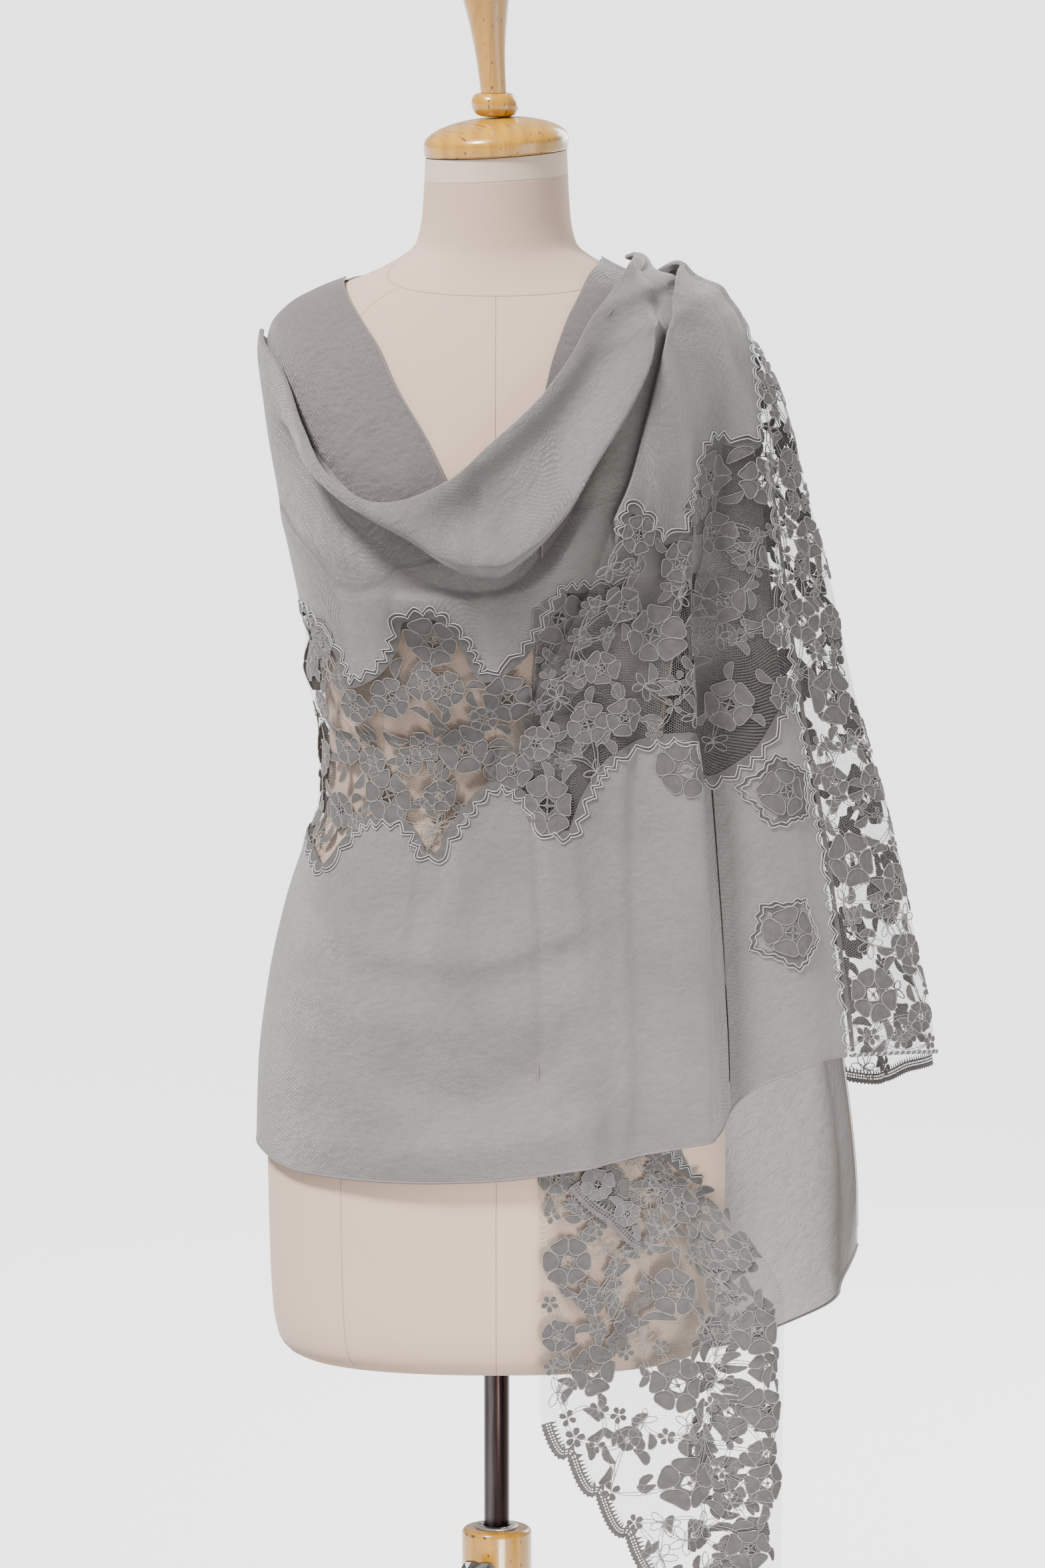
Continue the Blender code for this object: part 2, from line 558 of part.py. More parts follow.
def make_cap_and_finial():
    foot = TORSO[-1][0] + SEAM
    rows = [(CAP_RADIUS - 0.002, 0), (CAP_RADIUS, 0.002), (CAP_RADIUS, 0.008)]
    for k in range(1, 6):
        angle = math.radians(15 * k)
        rows.append((CAP_RADIUS * math.cos(angle), 0.008 + (CAP_HEIGHT - 0.0086) * math.sin(angle)))
    points, faces = closed_turned([(r, foot + h) for r, h in rows], 28)
    points = [(x, y, z + CAP_SLOPE * x) for x, y, z in points]
    add_object("neck_cap", points, faces, "varnished_wood")
    cap_top = foot + rows[-1][1]

    def leaning(points):
        return [(x - FINIAL_LEAN * (z - cap_top), y, z) for x, y, z in points]

    collar_foot = cap_top + SEAM + CAP_SLOPE * rows[-1][0]
    collar_top = collar_foot + COLLAR_HEIGHT
    rows = [(0.0110, collar_foot)]
    for angle in (-60, -35, 0, 35, 60):
        a = math.radians(angle)
        height = collar_foot + COLLAR_HEIGHT * (0.5 + 0.5 * math.sin(a))
        rows.append((COLLAR_RADIUS * (0.62 + 0.38 * math.cos(a)), height))
    rows.append((0.0100, collar_top))
    points, faces = closed_turned(rows, 20)
    add_object("finial_collar", leaning(points), faces, "varnished_wood")
    finial_foot = collar_top + SEAM
    rows = [
        (FINIAL_FOOT_RADIUS, 0.0), (FINIAL_FOOT_RADIUS + 0.0004, 0.010), (0.0108, 0.026),
        (0.0128, 0.044), (0.0150, 0.058), (FINIAL_TOP_RADIUS, FINIAL_HEIGHT - 0.002),
        (FINIAL_TOP_RADIUS - 0.0012, FINIAL_HEIGHT),
    ]
    points, faces = closed_turned([(r, finial_foot + h) for r, h in rows], 20)
    add_object("finial", leaning(points), faces, "varnished_wood")


def make_stand():
    flange_top = TORSO[0][0] - SEAM
    flange_foot = flange_top - FLANGE_HEIGHT
    profile = [
        (FLANGE_RADIUS - 0.003, flange_foot), (FLANGE_RADIUS, flange_foot + 0.003),
        (FLANGE_RADIUS, flange_top),
    ]
    add_object("pole_flange", *closed_turned(profile, 24), "steel")
    pole_top = flange_foot - SEAM
    profile = [
        (POLE_RADIUS - 0.001, POLE_FOOT), (POLE_RADIUS, POLE_FOOT + 0.001), (POLE_RADIUS, pole_top),
    ]
    add_object("pole", *closed_turned(profile, 24), "steel")
    bore = POLE_RADIUS + POLE_CLEARANCE
    profile = [
        (bore, HUB_FOOT), (HUB_RADIUS - 0.003, HUB_FOOT), (HUB_RADIUS, HUB_FOOT + 0.003),
        (HUB_RADIUS, HUB_TOP - 0.004), (HUB_RADIUS - 0.003, HUB_TOP), (bore, HUB_TOP),
    ]
    add_object("hub", *ring_turned(profile, 24), "varnished_wood")
    plate_foot = HUB_TOP + SEAM
    profile = [
        (bore, plate_foot), (PLATE_RADIUS, plate_foot), (PLATE_RADIUS, plate_foot + PLATE_HEIGHT),
        (bore, plate_foot + PLATE_HEIGHT),
    ]
    add_object("hub_plate", *ring_turned(profile, 24), "steel")
    column_top, column_foot = HUB_FOOT - SEAM, BASE_HEIGHT + SEAM
    profile = [
        (bore, column_foot), (COLUMN_RADIUS, column_foot), (COLUMN_RADIUS, column_top), (bore, column_top),
    ]
    add_object("column", *ring_turned(profile, 24), "painted_iron")
    profile = [
        (BASE_RADIUS - 0.003, 0.0), (BASE_RADIUS, 0.003), (BASE_RADIUS, 0.009),
        (BASE_RADIUS - 0.006, 0.013), (0.030, BASE_HEIGHT),
    ]
    add_object("base", *closed_turned(profile, 40), "painted_iron")


def make_knob():
    """Lobed hand knob on the front left of the hub, with its stem pointing at the pole."""
    sides = KNOB_LOBES * 4
    seat = HUB_RADIUS + SEAM
    rows = [  # share of the knob's radius, distance out from the hub
        (0.30, 0.0), (0.42, 0.004), (0.42, 0.008), (0.92, 0.011), (1.00, 0.015), (1.00, 0.021),
        (0.80, 0.0245),
    ]
    across, points, faces = [], [], []  # across: radius and angle of each point
    for share, _ in rows:
        for i in range(sides):
            angle = 2 * math.pi * i / sides
            lobe = 1 + (0.10 * math.cos(KNOB_LOBES * angle) if share > 0.8 else 0)
            across.append((share * lobe * KNOB_RADIUS, angle))
    turn = math.radians(KNOB_TURN)
    out = (math.sin(turn), -math.cos(turn))
    side = (math.cos(turn), math.sin(turn))

    def place(radius, angle, reach):
        along_side = radius * math.cos(angle)
        up = radius * math.sin(angle)
        return (
            out[0] * (seat + reach) + side[0] * along_side,
            out[1] * (seat + reach) + side[1] * along_side,
            KNOB_HEIGHT + up,
        )

    for k, (radius, angle) in enumerate(across):
        points.append(place(radius, angle, rows[k // sides][1]))
    for k in range(len(rows) - 1):
        for i in range(sides):
            j = (i + 1) % sides
            a, b = k * sides + i, k * sides + j
            faces.append((a, b, b + sides, a + sides))
    points += [place(0, 0, 0.0), place(0, 0, rows[-1][1])]
    low, high, top = len(points) - 2, len(points) - 1, (len(rows) - 1) * sides
    for i in range(sides):
        j = (i + 1) % sides
        faces.append((low, j, i))
        faces.append((high, top + i, top + j))
    add_object("clamp_knob", points, faces, "black_plastic")


def curve(rows, shift=0.0):
    return lambda x: along(rows, x) + shift


def above(rows):
    """An edge a seam's width above another, measured square to it."""
    def edge(turn):
        width = np.radians(1.0) * SEAM_RADIUS
        slope = (along(rows, turn + 0.5) - along(rows, turn - 0.5)) / width
        return along(rows, turn) + SEAM * np.hypot(1, slope)
    return edge


def fixed(value):
    return lambda x: value + 0 * np.asarray(x, float)


def front_columns(first, last):
    """Shared turns from first to last, so that stretches meet along the same points."""
    turns = [FRONT_TURNS[0][0]]
    for start, end, count in FRONT_TURNS:
        turns += [start + (end - start) * k / count for k in range(1, count + 1)]
    kept = np.array([turn for turn in turns if first - 0.5 <= turn <= last + 0.5])
    kept[0] = first
    kept[-1] = last
    return kept


def front_patch(first, last, rows, foot, top):
    turns = front_columns(first, last)
    columns = (turns - first) / (last - first)
    return patch(columns, rows, fixed(first), fixed(last), foot, top)


def first_columns():
    return shares(12, (0.85,), 0.20, 1.5)


def make_inner_stretches():
    right = curve(FIRST_RIGHT)
    rows = shares(19, (0.92,), 0.12, 2.0)
    foot, top = above(END_LACE_TOP), curve(FIRST_TOP)
    turn, rise = patch(first_columns(), rows, fixed(FIRST_LEFT), right, foot, top)
    wall("first_stretch", turn, rise, first_radius, "wool")
    columns, rows = shares(9, (0.05,), 0.15), shares(9, (0.75,), 0.2)
    left, top = fixed(-90 + SEAM_TURN), curve(NECK_EDGE_LEFT)
    turn, rise = patch(columns, rows, left, fixed(0), fixed(SHOULDER_FOOT), top)
    wall("left_shoulder", turn, rise, inner_radius, "wool")
    columns, rows = shares(15, (0.0, 1.0), 0.10), shares(8, (0.65,), 0.25)
    left, top = fixed(90 + SEAM_TURN), curve(BACK_NECK_EDGE)
    turn, rise = patch(columns, rows, left, fixed(270), fixed(BACK_UPPER_FOOT), top)
    wall("back_upper", turn, rise, inner_radius, "wool")


def make_wrap():
    lip = (LIP_DEPTH, LIP_DROP)
    turn, rise = front_patch(-90 + SEAM_TURN, 87, 15, above(WAIST_BAND_TOP), curve(COWL_TOP))
    wall("bodice_cowl", turn, rise, wrap_radius, "wool", lip)
    turn, rise = front_patch(-90 + SEAM_TURN, 42, 5, above(WAIST_BAND_FOOT), curve(WAIST_BAND_TOP))
    wall("waist_band", turn, rise, wrap_radius, "lace")
    left, right = fixed(92), fixed(270)
    columns = shares(15, (0.0, 1.0), 0.10, 1.5)
    turn, rise = patch(columns, 5, left, right, above(BACK_BAND_TOP), curve(BACK_EDGE))
    wall("back_mid", turn, rise, wrap_radius, "wool")
    turn, rise = patch(columns, 4, left, right, above(BACK_BAND_FOOT), curve(BACK_BAND_TOP))
    wall("back_band", turn, rise, wrap_radius, "lace")
    turn, rise = patch(columns, 8, left, right, curve(BACK_HEM), curve(BACK_BAND_FOOT))
    wall("back_lower", turn, rise, wrap_radius, "wool")


def make_outer():
    turn, rise = front_patch(-90 + SEAM_TURN, SIDE_START, 10, curve(HEM), curve(WRAP_TOP))
    wall("lower_wrap", turn, rise, outer_radius, "wool")
    turn, rise = front_patch(BAND_START, SIDE_BAND_START, 7, above(WRAP_TOP), panel_band_top)
    wall("outer_band", turn, rise, outer_radius, "lace")
    turns = np.concatenate([front_columns(PANEL_START, SIDE_END)[1:], np.arange(97, 139, 7), [140]])
    columns = (turns - turns[0]) / (turns[-1] - turns[0])
    first, last = fixed(turns[0]), fixed(turns[-1])
    turn, rise = patch(columns, 7, first, last, above(PANEL_BAND_TOP), curve(PANEL_EDGE))
    wall("outer_panel", turn, rise, behind_radius, "wool", (LIP_DEPTH, LIP_DROP / 2))
    turn, rise = front_patch(SIDE_START + SEAM_TURN, SIDE_BAND_START, 10, curve(HEM), curve(WRAP_TOP))
    wall("side_fall", turn, rise, outer_radius, "wool")
    first = SIDE_BAND_START + SEAM_TURN
    turn, rise = front_patch(first, SIDE_END, 15, curve(HEM), curve(PANEL_BAND_TOP))
    wall("side_band", turn, rise, outer_radius, "lace")
    first, top = fixed(SIDE_END + SEAM_TURN), curve(PANEL_BAND_TOP, -SEAM)
    turn, rise = patch(9, 12, first, fixed(136), fan_edge, top)
    wall("second_end_lace", turn, rise, behind_radius, "lace")
    turn, rise = patch(17, 12, fixed(86), fixed(206), curve(FALL_HEM), curve(FALL_TOP))
    wall("back_fall", turn, rise, back_fall_radius, "wool")


def panel_band_top(turn):
    edge = along(PANEL_EDGE, turn)
    band = along(PANEL_BAND_TOP, turn)
    return np.where(turn < PANEL_START + 0.5, edge, np.minimum(edge, band))


def fan_edge(turn):
    """Small scallops along the foot of the second end panel."""
    scallops = 0.004 * (1 - np.abs(np.sin(np.radians(turn) * 12)))
    return along(FAN_FOOT, turn) + scallops


def make_first_end():
    right = curve(FIRST_RIGHT)
    turn, rise = patch(first_columns(), 13, fixed(FIRST_LEFT), right, end_lace_foot, curve(END_LACE_TOP))
    wall("first_end_lace", turn, rise, first_radius, "lace")
    turn, rise = patch(8, 4, fixed(24), fixed(45), ruffle_foot, curve(HEM, -0.002))
    wall("first_end_ruffle", turn, rise, ruffle_radius, "lace")


def ruffle_radius(turn, rise):
    return first_radius(turn, rise) + RUFFLE_STEP


def ruffle_foot(turn):
    scallops = 0.003 * (1 - np.abs(np.sin(np.radians(turn) * 15)))
    return along(RUFFLE_FOOT, turn) + scallops


for old in list(bpy.data.objects):
    bpy.data.objects.remove(old, do_unlink=True)

make_stand()
make_knob()
make_torso()
make_cap_and_finial()
make_inner_stretches()
make_wrap()
make_outer()
make_first_end()
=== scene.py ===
import math

import bpy
import numpy as np
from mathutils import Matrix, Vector


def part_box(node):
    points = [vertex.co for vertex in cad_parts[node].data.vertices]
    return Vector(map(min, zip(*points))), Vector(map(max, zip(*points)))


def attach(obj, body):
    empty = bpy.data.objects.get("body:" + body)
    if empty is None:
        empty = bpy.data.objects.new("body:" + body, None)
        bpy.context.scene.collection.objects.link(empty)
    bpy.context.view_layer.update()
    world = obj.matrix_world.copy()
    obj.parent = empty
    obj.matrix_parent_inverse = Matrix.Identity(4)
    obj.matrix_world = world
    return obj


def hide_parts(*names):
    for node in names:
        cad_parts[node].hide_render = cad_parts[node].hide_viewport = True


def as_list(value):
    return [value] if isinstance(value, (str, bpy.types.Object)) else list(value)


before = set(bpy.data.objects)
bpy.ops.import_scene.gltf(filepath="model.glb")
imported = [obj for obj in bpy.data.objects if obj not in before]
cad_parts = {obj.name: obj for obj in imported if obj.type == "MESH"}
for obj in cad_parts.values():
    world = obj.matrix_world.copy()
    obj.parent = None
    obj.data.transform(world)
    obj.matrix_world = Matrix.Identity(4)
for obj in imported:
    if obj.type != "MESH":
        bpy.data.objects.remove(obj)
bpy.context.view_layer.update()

# Places on the cloth are given by turn, degrees from the front towards +X, and rise, the height up the
# form, which past the chest runs on over the shoulders. Lengths are metres, and patterns millimetres.

# height, half width, depth in front, depth behind, squareness of the section
torsoRows = (
    (0.552, 0.1420, 0.092, 0.094, 2.3), (0.556, 0.1500, 0.099, 0.101, 2.3),
    (0.565, 0.1570, 0.104, 0.106, 2.3), (0.585, 0.1610, 0.107, 0.109, 2.3),
    (0.620, 0.1630, 0.108, 0.112, 2.3), (0.700, 0.1645, 0.110, 0.117, 2.3),
    (0.760, 0.1630, 0.107, 0.115, 2.3), (0.820, 0.1560, 0.101, 0.106, 2.3),
    (0.880, 0.1430, 0.093, 0.095, 2.3), (0.930, 0.1270, 0.086, 0.086, 2.2),
    (0.960, 0.1195, 0.083, 0.083, 2.2), (1.000, 0.1195, 0.086, 0.084, 2.2),
    (1.050, 0.1255, 0.097, 0.088, 2.2), (1.100, 0.1330, 0.110, 0.094, 2.3),
    (1.140, 0.1410, 0.117, 0.098, 2.4), (1.180, 0.1480, 0.114, 0.101, 2.4),
    (1.230, 0.1565, 0.100, 0.102, 2.4), (1.268, 0.1600, 0.086, 0.098, 2.3),
    (1.289, 0.1570, 0.076, 0.089, 2.2), (1.304, 0.1450, 0.068, 0.080, 2.1),
    (1.317, 0.1220, 0.061, 0.071, 2.1), (1.327, 0.0950, 0.056, 0.064, 2.0),
    (1.337, 0.0740, 0.052, 0.058, 2.0), (1.350, 0.0570, 0.049, 0.053, 2.0),
    (1.370, 0.0525, 0.0485, 0.051, 2.0), (1.414, 0.0500, 0.0490, 0.049, 2.0),
)
chest = 1.20
shoulderCurve = 0.14
innerStandOff = 0.0042
wrapStandOff = 0.0080
layerStep = 0.0080
ruffleStep = 0.0026
seam = 0.0003

# edges of the stretches: turn, rise
neckEdgeLeft = (
    (-90, 1.322), (-74, 1.316), (-51, 1.295), (-37, 1.262), (-26, 1.230), (-17, 1.194),
    (-10, 1.169), (0, 1.150),
)
cowlTop = (
    (-90, 1.268), (-74, 1.257), (-57, 1.226), (-44, 1.198), (-30, 1.181), (-15, 1.194),
    (-1, 1.224), (14, 1.255), (27, 1.284), (39, 1.308), (53, 1.322), (69, 1.332), (90, 1.340),
)
waistBandTop = (
    (-90, 1.088), (-76, 1.096), (-65, 1.084), (-58, 1.068), (-53, 1.048), (-44, 1.056),
    (-37, 1.074), (-31, 1.098), (-21, 1.102), (-12, 1.084), (-4, 1.056), (7, 1.068), (15, 1.090),
    (22, 1.120), (40, 1.120),
)
waistBandFoot = (
    (-90, 0.930), (-76, 0.920), (-67, 0.910), (-60, 0.930), (-53, 0.946), (-42, 0.948),
    (-35, 0.940), (-30, 0.925), (-22, 0.930), (-10, 0.945), (10, 0.950), (40, 0.950),
)
wrapTop = (
    (-90, 0.930), (-76, 0.920), (-67, 0.910), (-60, 0.930), (-53, 0.946), (-42, 0.948),
    (-35, 0.940), (-30, 0.925), (-24, 0.924), (-19, 0.936), (-13, 0.953), (-6, 0.970),
    (2, 0.977), (12, 0.966), (17, 0.946), (26, 0.942), (31, 0.970), (38, 0.996), (46, 1.006),
    (55, 1.010), (61, 0.986), (66, 0.975), (70, 0.990), (76, 1.024), (84, 1.030),
)
panelEdge = (
    (-6, 0.974), (0, 0.998), (7, 1.021), (12, 1.035), (16, 1.060), (20, 1.073), (25, 1.099),
    (28, 1.116), (33, 1.155), (40, 1.191), (48, 1.235), (57, 1.271), (68, 1.298), (81, 1.311),
    (100, 1.312), (120, 1.306), (140, 1.285),
)
panelBandTop = (
    (30, 1.140), (35, 1.150), (39, 1.176), (43, 1.172), (49, 1.152), (55, 1.156), (59, 1.180),
    (62, 1.206), (68, 1.216), (76, 1.210), (79, 1.216), (85, 1.250), (91, 1.266), (100, 1.268),
    (140, 1.245),
)
hemEdge = (
    (-90, 0.708), (-80, 0.706), (-60, 0.697), (-33, 0.696), (-2, 0.698), (28, 0.706),
    (53, 0.719), (64, 0.726), (67, 0.745), (70, 0.762), (76, 0.775), (84, 0.773), (92, 0.767),
)
endLaceTop = ((14, 0.735), (40, 0.728), (52, 0.716), (62, 0.690), (76, 0.660))
firstLeft = 15.0
firstRight = (  # rise, turn
    (0.34, 66), (0.50, 67), (0.60, 67.5), (0.66, 64), (0.735, 58), (0.90, 62), (1.05, 73), (1.20, 76),
    (1.36, 90),
)
firstTop = ((14, 1.235), (26, 1.299), (39, 1.328), (61, 1.347), (90, 1.352))
backEdge = ((90, 1.120), (130, 1.150), (180, 1.200), (225, 1.245), (270, 1.268))
backBandTop = ((90, 1.060), (140, 1.075), (190, 1.070), (235, 1.082), (270, 1.088))
backBandFoot = ((90, 0.930), (140, 0.925), (190, 0.935), (235, 0.925), (270, 0.930))
backNeckEdge = ((90, 1.352), (140, 1.338), (180, 1.332), (220, 1.334), (270, 1.322))
backHem = ((92, 0.745), (180, 0.715), (270, 0.708))
fanFoot = ((91, 0.757), (98, 0.748), (107, 0.728), (118, 0.735), (136, 0.760))
ruffleFoot = ((24, 0.690), (34, 0.668), (44, 0.646), (49, 0.640))
fallTop = ((86, 1.215), (120, 1.255), (150, 1.255), (206, 1.190))
fallHem = ((84, 0.640), (100, 0.585), (125, 0.530), (150, 0.545), (180, 0.580), (206, 0.625))
endLaceFoot = ((14, 0.520), (30, 0.470), (45, 0.415), (58, 0.352), (72, 0.345))

# folds that cross the cloth: turn and rise of the crest, height, reach above, reach below
crossingFolds = {
    "cowl roll": (cowlTop[2:], 0.0100, 0.020, 0.024),
    "cowl edge": (cowlTop, 0.0030, 0.020, 0.020),
    "cowl bag": (
        ((-71, 1.234), (-61, 1.222), (-51, 1.202), (-28, 1.165), (-10, 1.140), (0, 1.138),
         (10, 1.151), (19, 1.172), (28, 1.205), (40, 1.241), (51, 1.272), (63, 1.302)),
        0.0195, 0.024, 0.0075,
    ),
    "cowl shade": (
        ((-71, 1.218), (-61, 1.206), (-51, 1.184), (-28, 1.146), (-10, 1.121), (0, 1.118),
         (8, 1.129), (14, 1.146)),
        -0.0085, 0.006, 0.024,
    ),
    "cowl crease": (
        ((-71, 1.222), (-61, 1.210), (-51, 1.189), (-28, 1.152), (-10, 1.127), (0, 1.125),
         (10, 1.138), (19, 1.159), (28, 1.192), (40, 1.228)),
        -0.0110, 0.003, 0.007,
    ),
    "cowl return": (
        ((-50, 1.108), (-28, 1.110), (-9, 1.111), (7, 1.116), (16, 1.131), (24, 1.157),
         (34, 1.188)),
        0.0080, 0.006, 0.022,
    ),
    "cowl pull": (((-88, 1.160), (-60, 1.150), (-34, 1.122)), 0.0035, 0.010, 0.014),
    "waist crease": (((-84, 1.012), (-62, 1.016), (-40, 1.020), (-8, 1.024)), 0.0060, 0.020, 0.008),
    "waist puff": (((-100, 1.045), (-88, 1.046), (-76, 1.044)), 0.0055, 0.016, 0.022),
    "waist hollow": (((-88, 0.968), (-50, 0.972), (-14, 0.985)), 0.0035, 0.016, 0.016),
    "hip sweep": (
        ((-74, 0.892), (-45, 0.858), (-12, 0.853), (20, 0.872), (38, 0.890)), 0.0050, 0.020, 0.012,
    ),
    "hip sweep lower": (
        ((-76, 0.848), (-48, 0.818), (-11, 0.808), (18, 0.820), (36, 0.838)), 0.0036, 0.024, 0.016,
    ),
    "hip hollow": (
        ((-70, 0.800), (-34, 0.764), (-13, 0.754), (10, 0.768), (34, 0.800)), -0.0052, 0.022, 0.015,
    ),
    "hip drag": (((-64, 0.726), (-34, 0.716), (-5, 0.722), (20, 0.734), (36, 0.746)), 0.0052, 0.013, 0.020),
    "back sweep": (((120, 0.85), (170, 0.88), (225, 0.93), (262, 0.98)), 0.0045, 0.026, 0.018),
    "back sweep upper": (((125, 1.02), (170, 1.06), (225, 1.13), (262, 1.19)), 0.0050, 0.024, 0.018),
}
# folds that hang: rise and turn of the crest, height, reach in degrees
hangingFolds = {
    "front soft": (((0.70, 29), (0.80, 31), (0.91, 34)), 0.0035, 5.0),
    "front wide": (((0.70, 50), (0.84, 52), (0.98, 54)), 0.0050, 5.0),
    "panel ridge": (((0.72, 58), (0.90, 57), (1.10, 55), (1.24, 59)), 0.0080, 3.8),
    "panel valley": (((0.72, 67), (0.90, 66), (1.10, 65), (1.22, 68)), -0.0180, 4.2),
    "side ridge": (((0.74, 75), (0.90, 75), (1.10, 76), (1.22, 77)), 0.0050, 3.6),
    "band gather": (((0.98, 40), (1.08, 42), (1.20, 48)), 0.0040, 3.0),
}
fallFolds = {
    "fall pipe right": (((0.52, 104), (0.80, 106), (1.10, 112), (1.24, 118)), 0.0100, 6.0),
    "fall valley": (((0.52, 119), (0.80, 121), (1.10, 126), (1.24, 130)), -0.0080, 6.0),
    "fall pipe middle": (((0.52, 136), (0.80, 138), (1.10, 142), (1.24, 144)), 0.0110, 7.0),
    "fall pipe left": (((0.52, 168), (0.80, 166), (1.10, 160), (1.24, 154)), 0.0100, 7.0),
    "fall edge": (((0.58, 196), (0.80, 190), (1.10, 176), (1.24, 164)), 0.0060, 5.0),
}
shoulderPleats = ((1.290, 0.0030), (1.312, 0.0040), (1.330, 0.0035))
pleatReach = 0.0055

# how far the outer cloth stands from the axis: rise, then the radius at each turn
fallTurns = (-30, 0, 20, 40, 60, 75, 90, 105, 125, 150, 180, 206)
fallRadii = (
    (0.500, 0.05, 0.05, 0.05, 0.05, 0.170, 0.240, 0.318, 0.300, 0.240, 0.185, 0.150, 0.140),
    (0.770, 0.05, 0.05, 0.119, 0.140, 0.174, 0.236, 0.315, 0.290, 0.230, 0.180, 0.145, 0.135),
    (0.840, 0.05, 0.05, 0.117, 0.137, 0.173, 0.229, 0.303, 0.276, 0.220, 0.170, 0.135, 0.125),
    (0.940, 0.05, 0.05, 0.113, 0.133, 0.168, 0.217, 0.281, 0.254, 0.200, 0.150, 0.120, 0.110),
    (1.030, 0.05, 0.05, 0.116, 0.134, 0.163, 0.203, 0.256, 0.232, 0.180, 0.138, 0.110, 0.100),
    (1.120, 0.05, 0.05, 0.118, 0.134, 0.158, 0.192, 0.236, 0.210, 0.160, 0.128, 0.100, 0.100),
    (1.200, 0.05, 0.05, 0.110, 0.128, 0.152, 0.184, 0.214, 0.190, 0.145, 0.115, 0.100, 0.100),
    (1.257, 0.05, 0.05, 0.100, 0.118, 0.146, 0.178, 0.200, 0.184, 0.140, 0.110, 0.100, 0.100),
    (1.300, 0.05, 0.05, 0.080, 0.100, 0.140, 0.170, 0.182, 0.172, 0.130, 0.100, 0.080, 0.080),
    (1.400, 0.05, 0.05, 0.050, 0.050, 0.060, 0.070, 0.080, 0.080, 0.060, 0.050, 0.050, 0.050),
)
backFallTurns = (84, 100, 125, 150, 180, 206)
backFallRadii = (
    (0.500, 0.262, 0.246, 0.195, 0.165, 0.150, 0.148),
    (0.660, 0.261, 0.248, 0.195, 0.162, 0.148, 0.146),
    (0.770, 0.250, 0.236, 0.185, 0.155, 0.140, 0.138),
    (0.940, 0.215, 0.205, 0.160, 0.130, 0.116, 0.110),
    (1.120, 0.195, 0.182, 0.145, 0.122, 0.108, 0.105),
    (1.230, 0.180, 0.176, 0.142, 0.115, 0.105, 0.100),
    (1.300, 0.165, 0.160, 0.125, 0.098, 0.080, 0.080),
)


# value at x read from a short table, smooth and with no overshoot between its rows
def along(rows, x, column=1):
    xs = np.array([row[0] for row in rows], float)
    ys = np.array([row[column] for row in rows], float)
    x = np.clip(x, xs[0], xs[-1])
    slope = np.diff(ys) / np.diff(xs)
    before, after = slope[:-1], slope[1:]
    same = before * after > 0
    tangent = np.empty(len(xs))
    tangent[1:-1] = np.where(same, 2 * before * after / np.where(same, before + after, 1), 0)
    tangent[0], tangent[-1] = slope[0], slope[-1]
    i = np.clip(np.searchsorted(xs, x, side="right") - 1, 0, len(xs) - 2)
    step = xs[i + 1] - xs[i]
    t = (x - xs[i]) / step
    return (
        (1 + 2 * t) * (1 - t) ** 2 * ys[i]
        + t * (1 - t) ** 2 * step * tangent[i]
        + t * t * (3 - 2 * t) * ys[i + 1]
        + t * t * (t - 1) * step * tangent[i + 1]
    )


def smoothStep(x, low, high):
    t = np.clip((x - low) / (high - low), 0, 1)
    return t * t * (3 - 2 * t)


def larger(p, q, blend=0.004):
    return 0.5 * (p + q + np.sqrt((p - q) ** 2 + blend**2))


# direction of a ray out of the form, and the height at which it starts
def ray(turn, rise):
    angle = np.radians(turn)
    lift = np.maximum(rise - chest, 0) / shoulderCurve
    return (
        np.sin(angle) * np.cos(lift),
        -np.cos(angle) * np.cos(lift),
        np.sin(lift),
        np.minimum(rise, chest),
    )


def torsoLevel(x, y, z):
    halfWidth = along(torsoRows, z, 1)
    depth = np.where(y < 0, along(torsoRows, z, 2), along(torsoRows, z, 3))
    power = along(torsoRows, z, 4)
    level = (np.abs(x) / halfWidth) ** power + (np.abs(y) / depth) ** power
    return np.where(z > torsoRows[-1][0], 9.0, level)


# The torso's radius is worked out once, on a grid of turns and rises, and read between its points.
gridTurns = np.arange(-100, 281, 1.0)
gridRises = np.arange(0.60, 1.381, 0.004)


def torsoGrid():
    turn, rise = np.meshgrid(gridTurns, gridRises, indexing="ij")
    dx, dy, dz, foot = ray(turn, rise)
    near = np.zeros(turn.shape)
    far = np.full(turn.shape, 0.30)
    for _ in range(24):
        middle = (near + far) / 2
        inside = torsoLevel(dx * middle, dy * middle, foot + dz * middle) < 1
        near = np.where(inside, middle, near)
        far = np.where(inside, far, middle)
    return near


bodyGrid = torsoGrid()


def bodyRadius(turn, rise):
    turn, rise = np.broadcast_arrays(np.asarray(turn, float), np.asarray(rise, float))
    across = np.clip(turn - gridTurns[0], 0, len(gridTurns) - 1.001)
    up = np.clip((rise - gridRises[0]) / 0.004, 0, len(gridRises) - 1.001)
    i, j = across.astype(int), up.astype(int)
    s, t = across - i, up - j
    low = bodyGrid[i, j] * (1 - s) + bodyGrid[i + 1, j] * s
    high = bodyGrid[i, j + 1] * (1 - s) + bodyGrid[i + 1, j + 1] * s
    return low * (1 - t) + high * t


def crossingFold(turn, rise, fold):
    path, height, above, below = fold
    crest = along(path, turn)
    reach = np.where(rise > crest, above, below)
    first, last = path[0][0], path[-1][0]
    fade = smoothStep(turn, first - 6, first + 22) * (1 - smoothStep(turn, last - 16, last + 4))
    if first <= -90:  # a fold that runs on round the left side is not faded at its ends
        fade = 1.0
    return height * fade * np.exp(-(((rise - crest) / reach) ** 2))


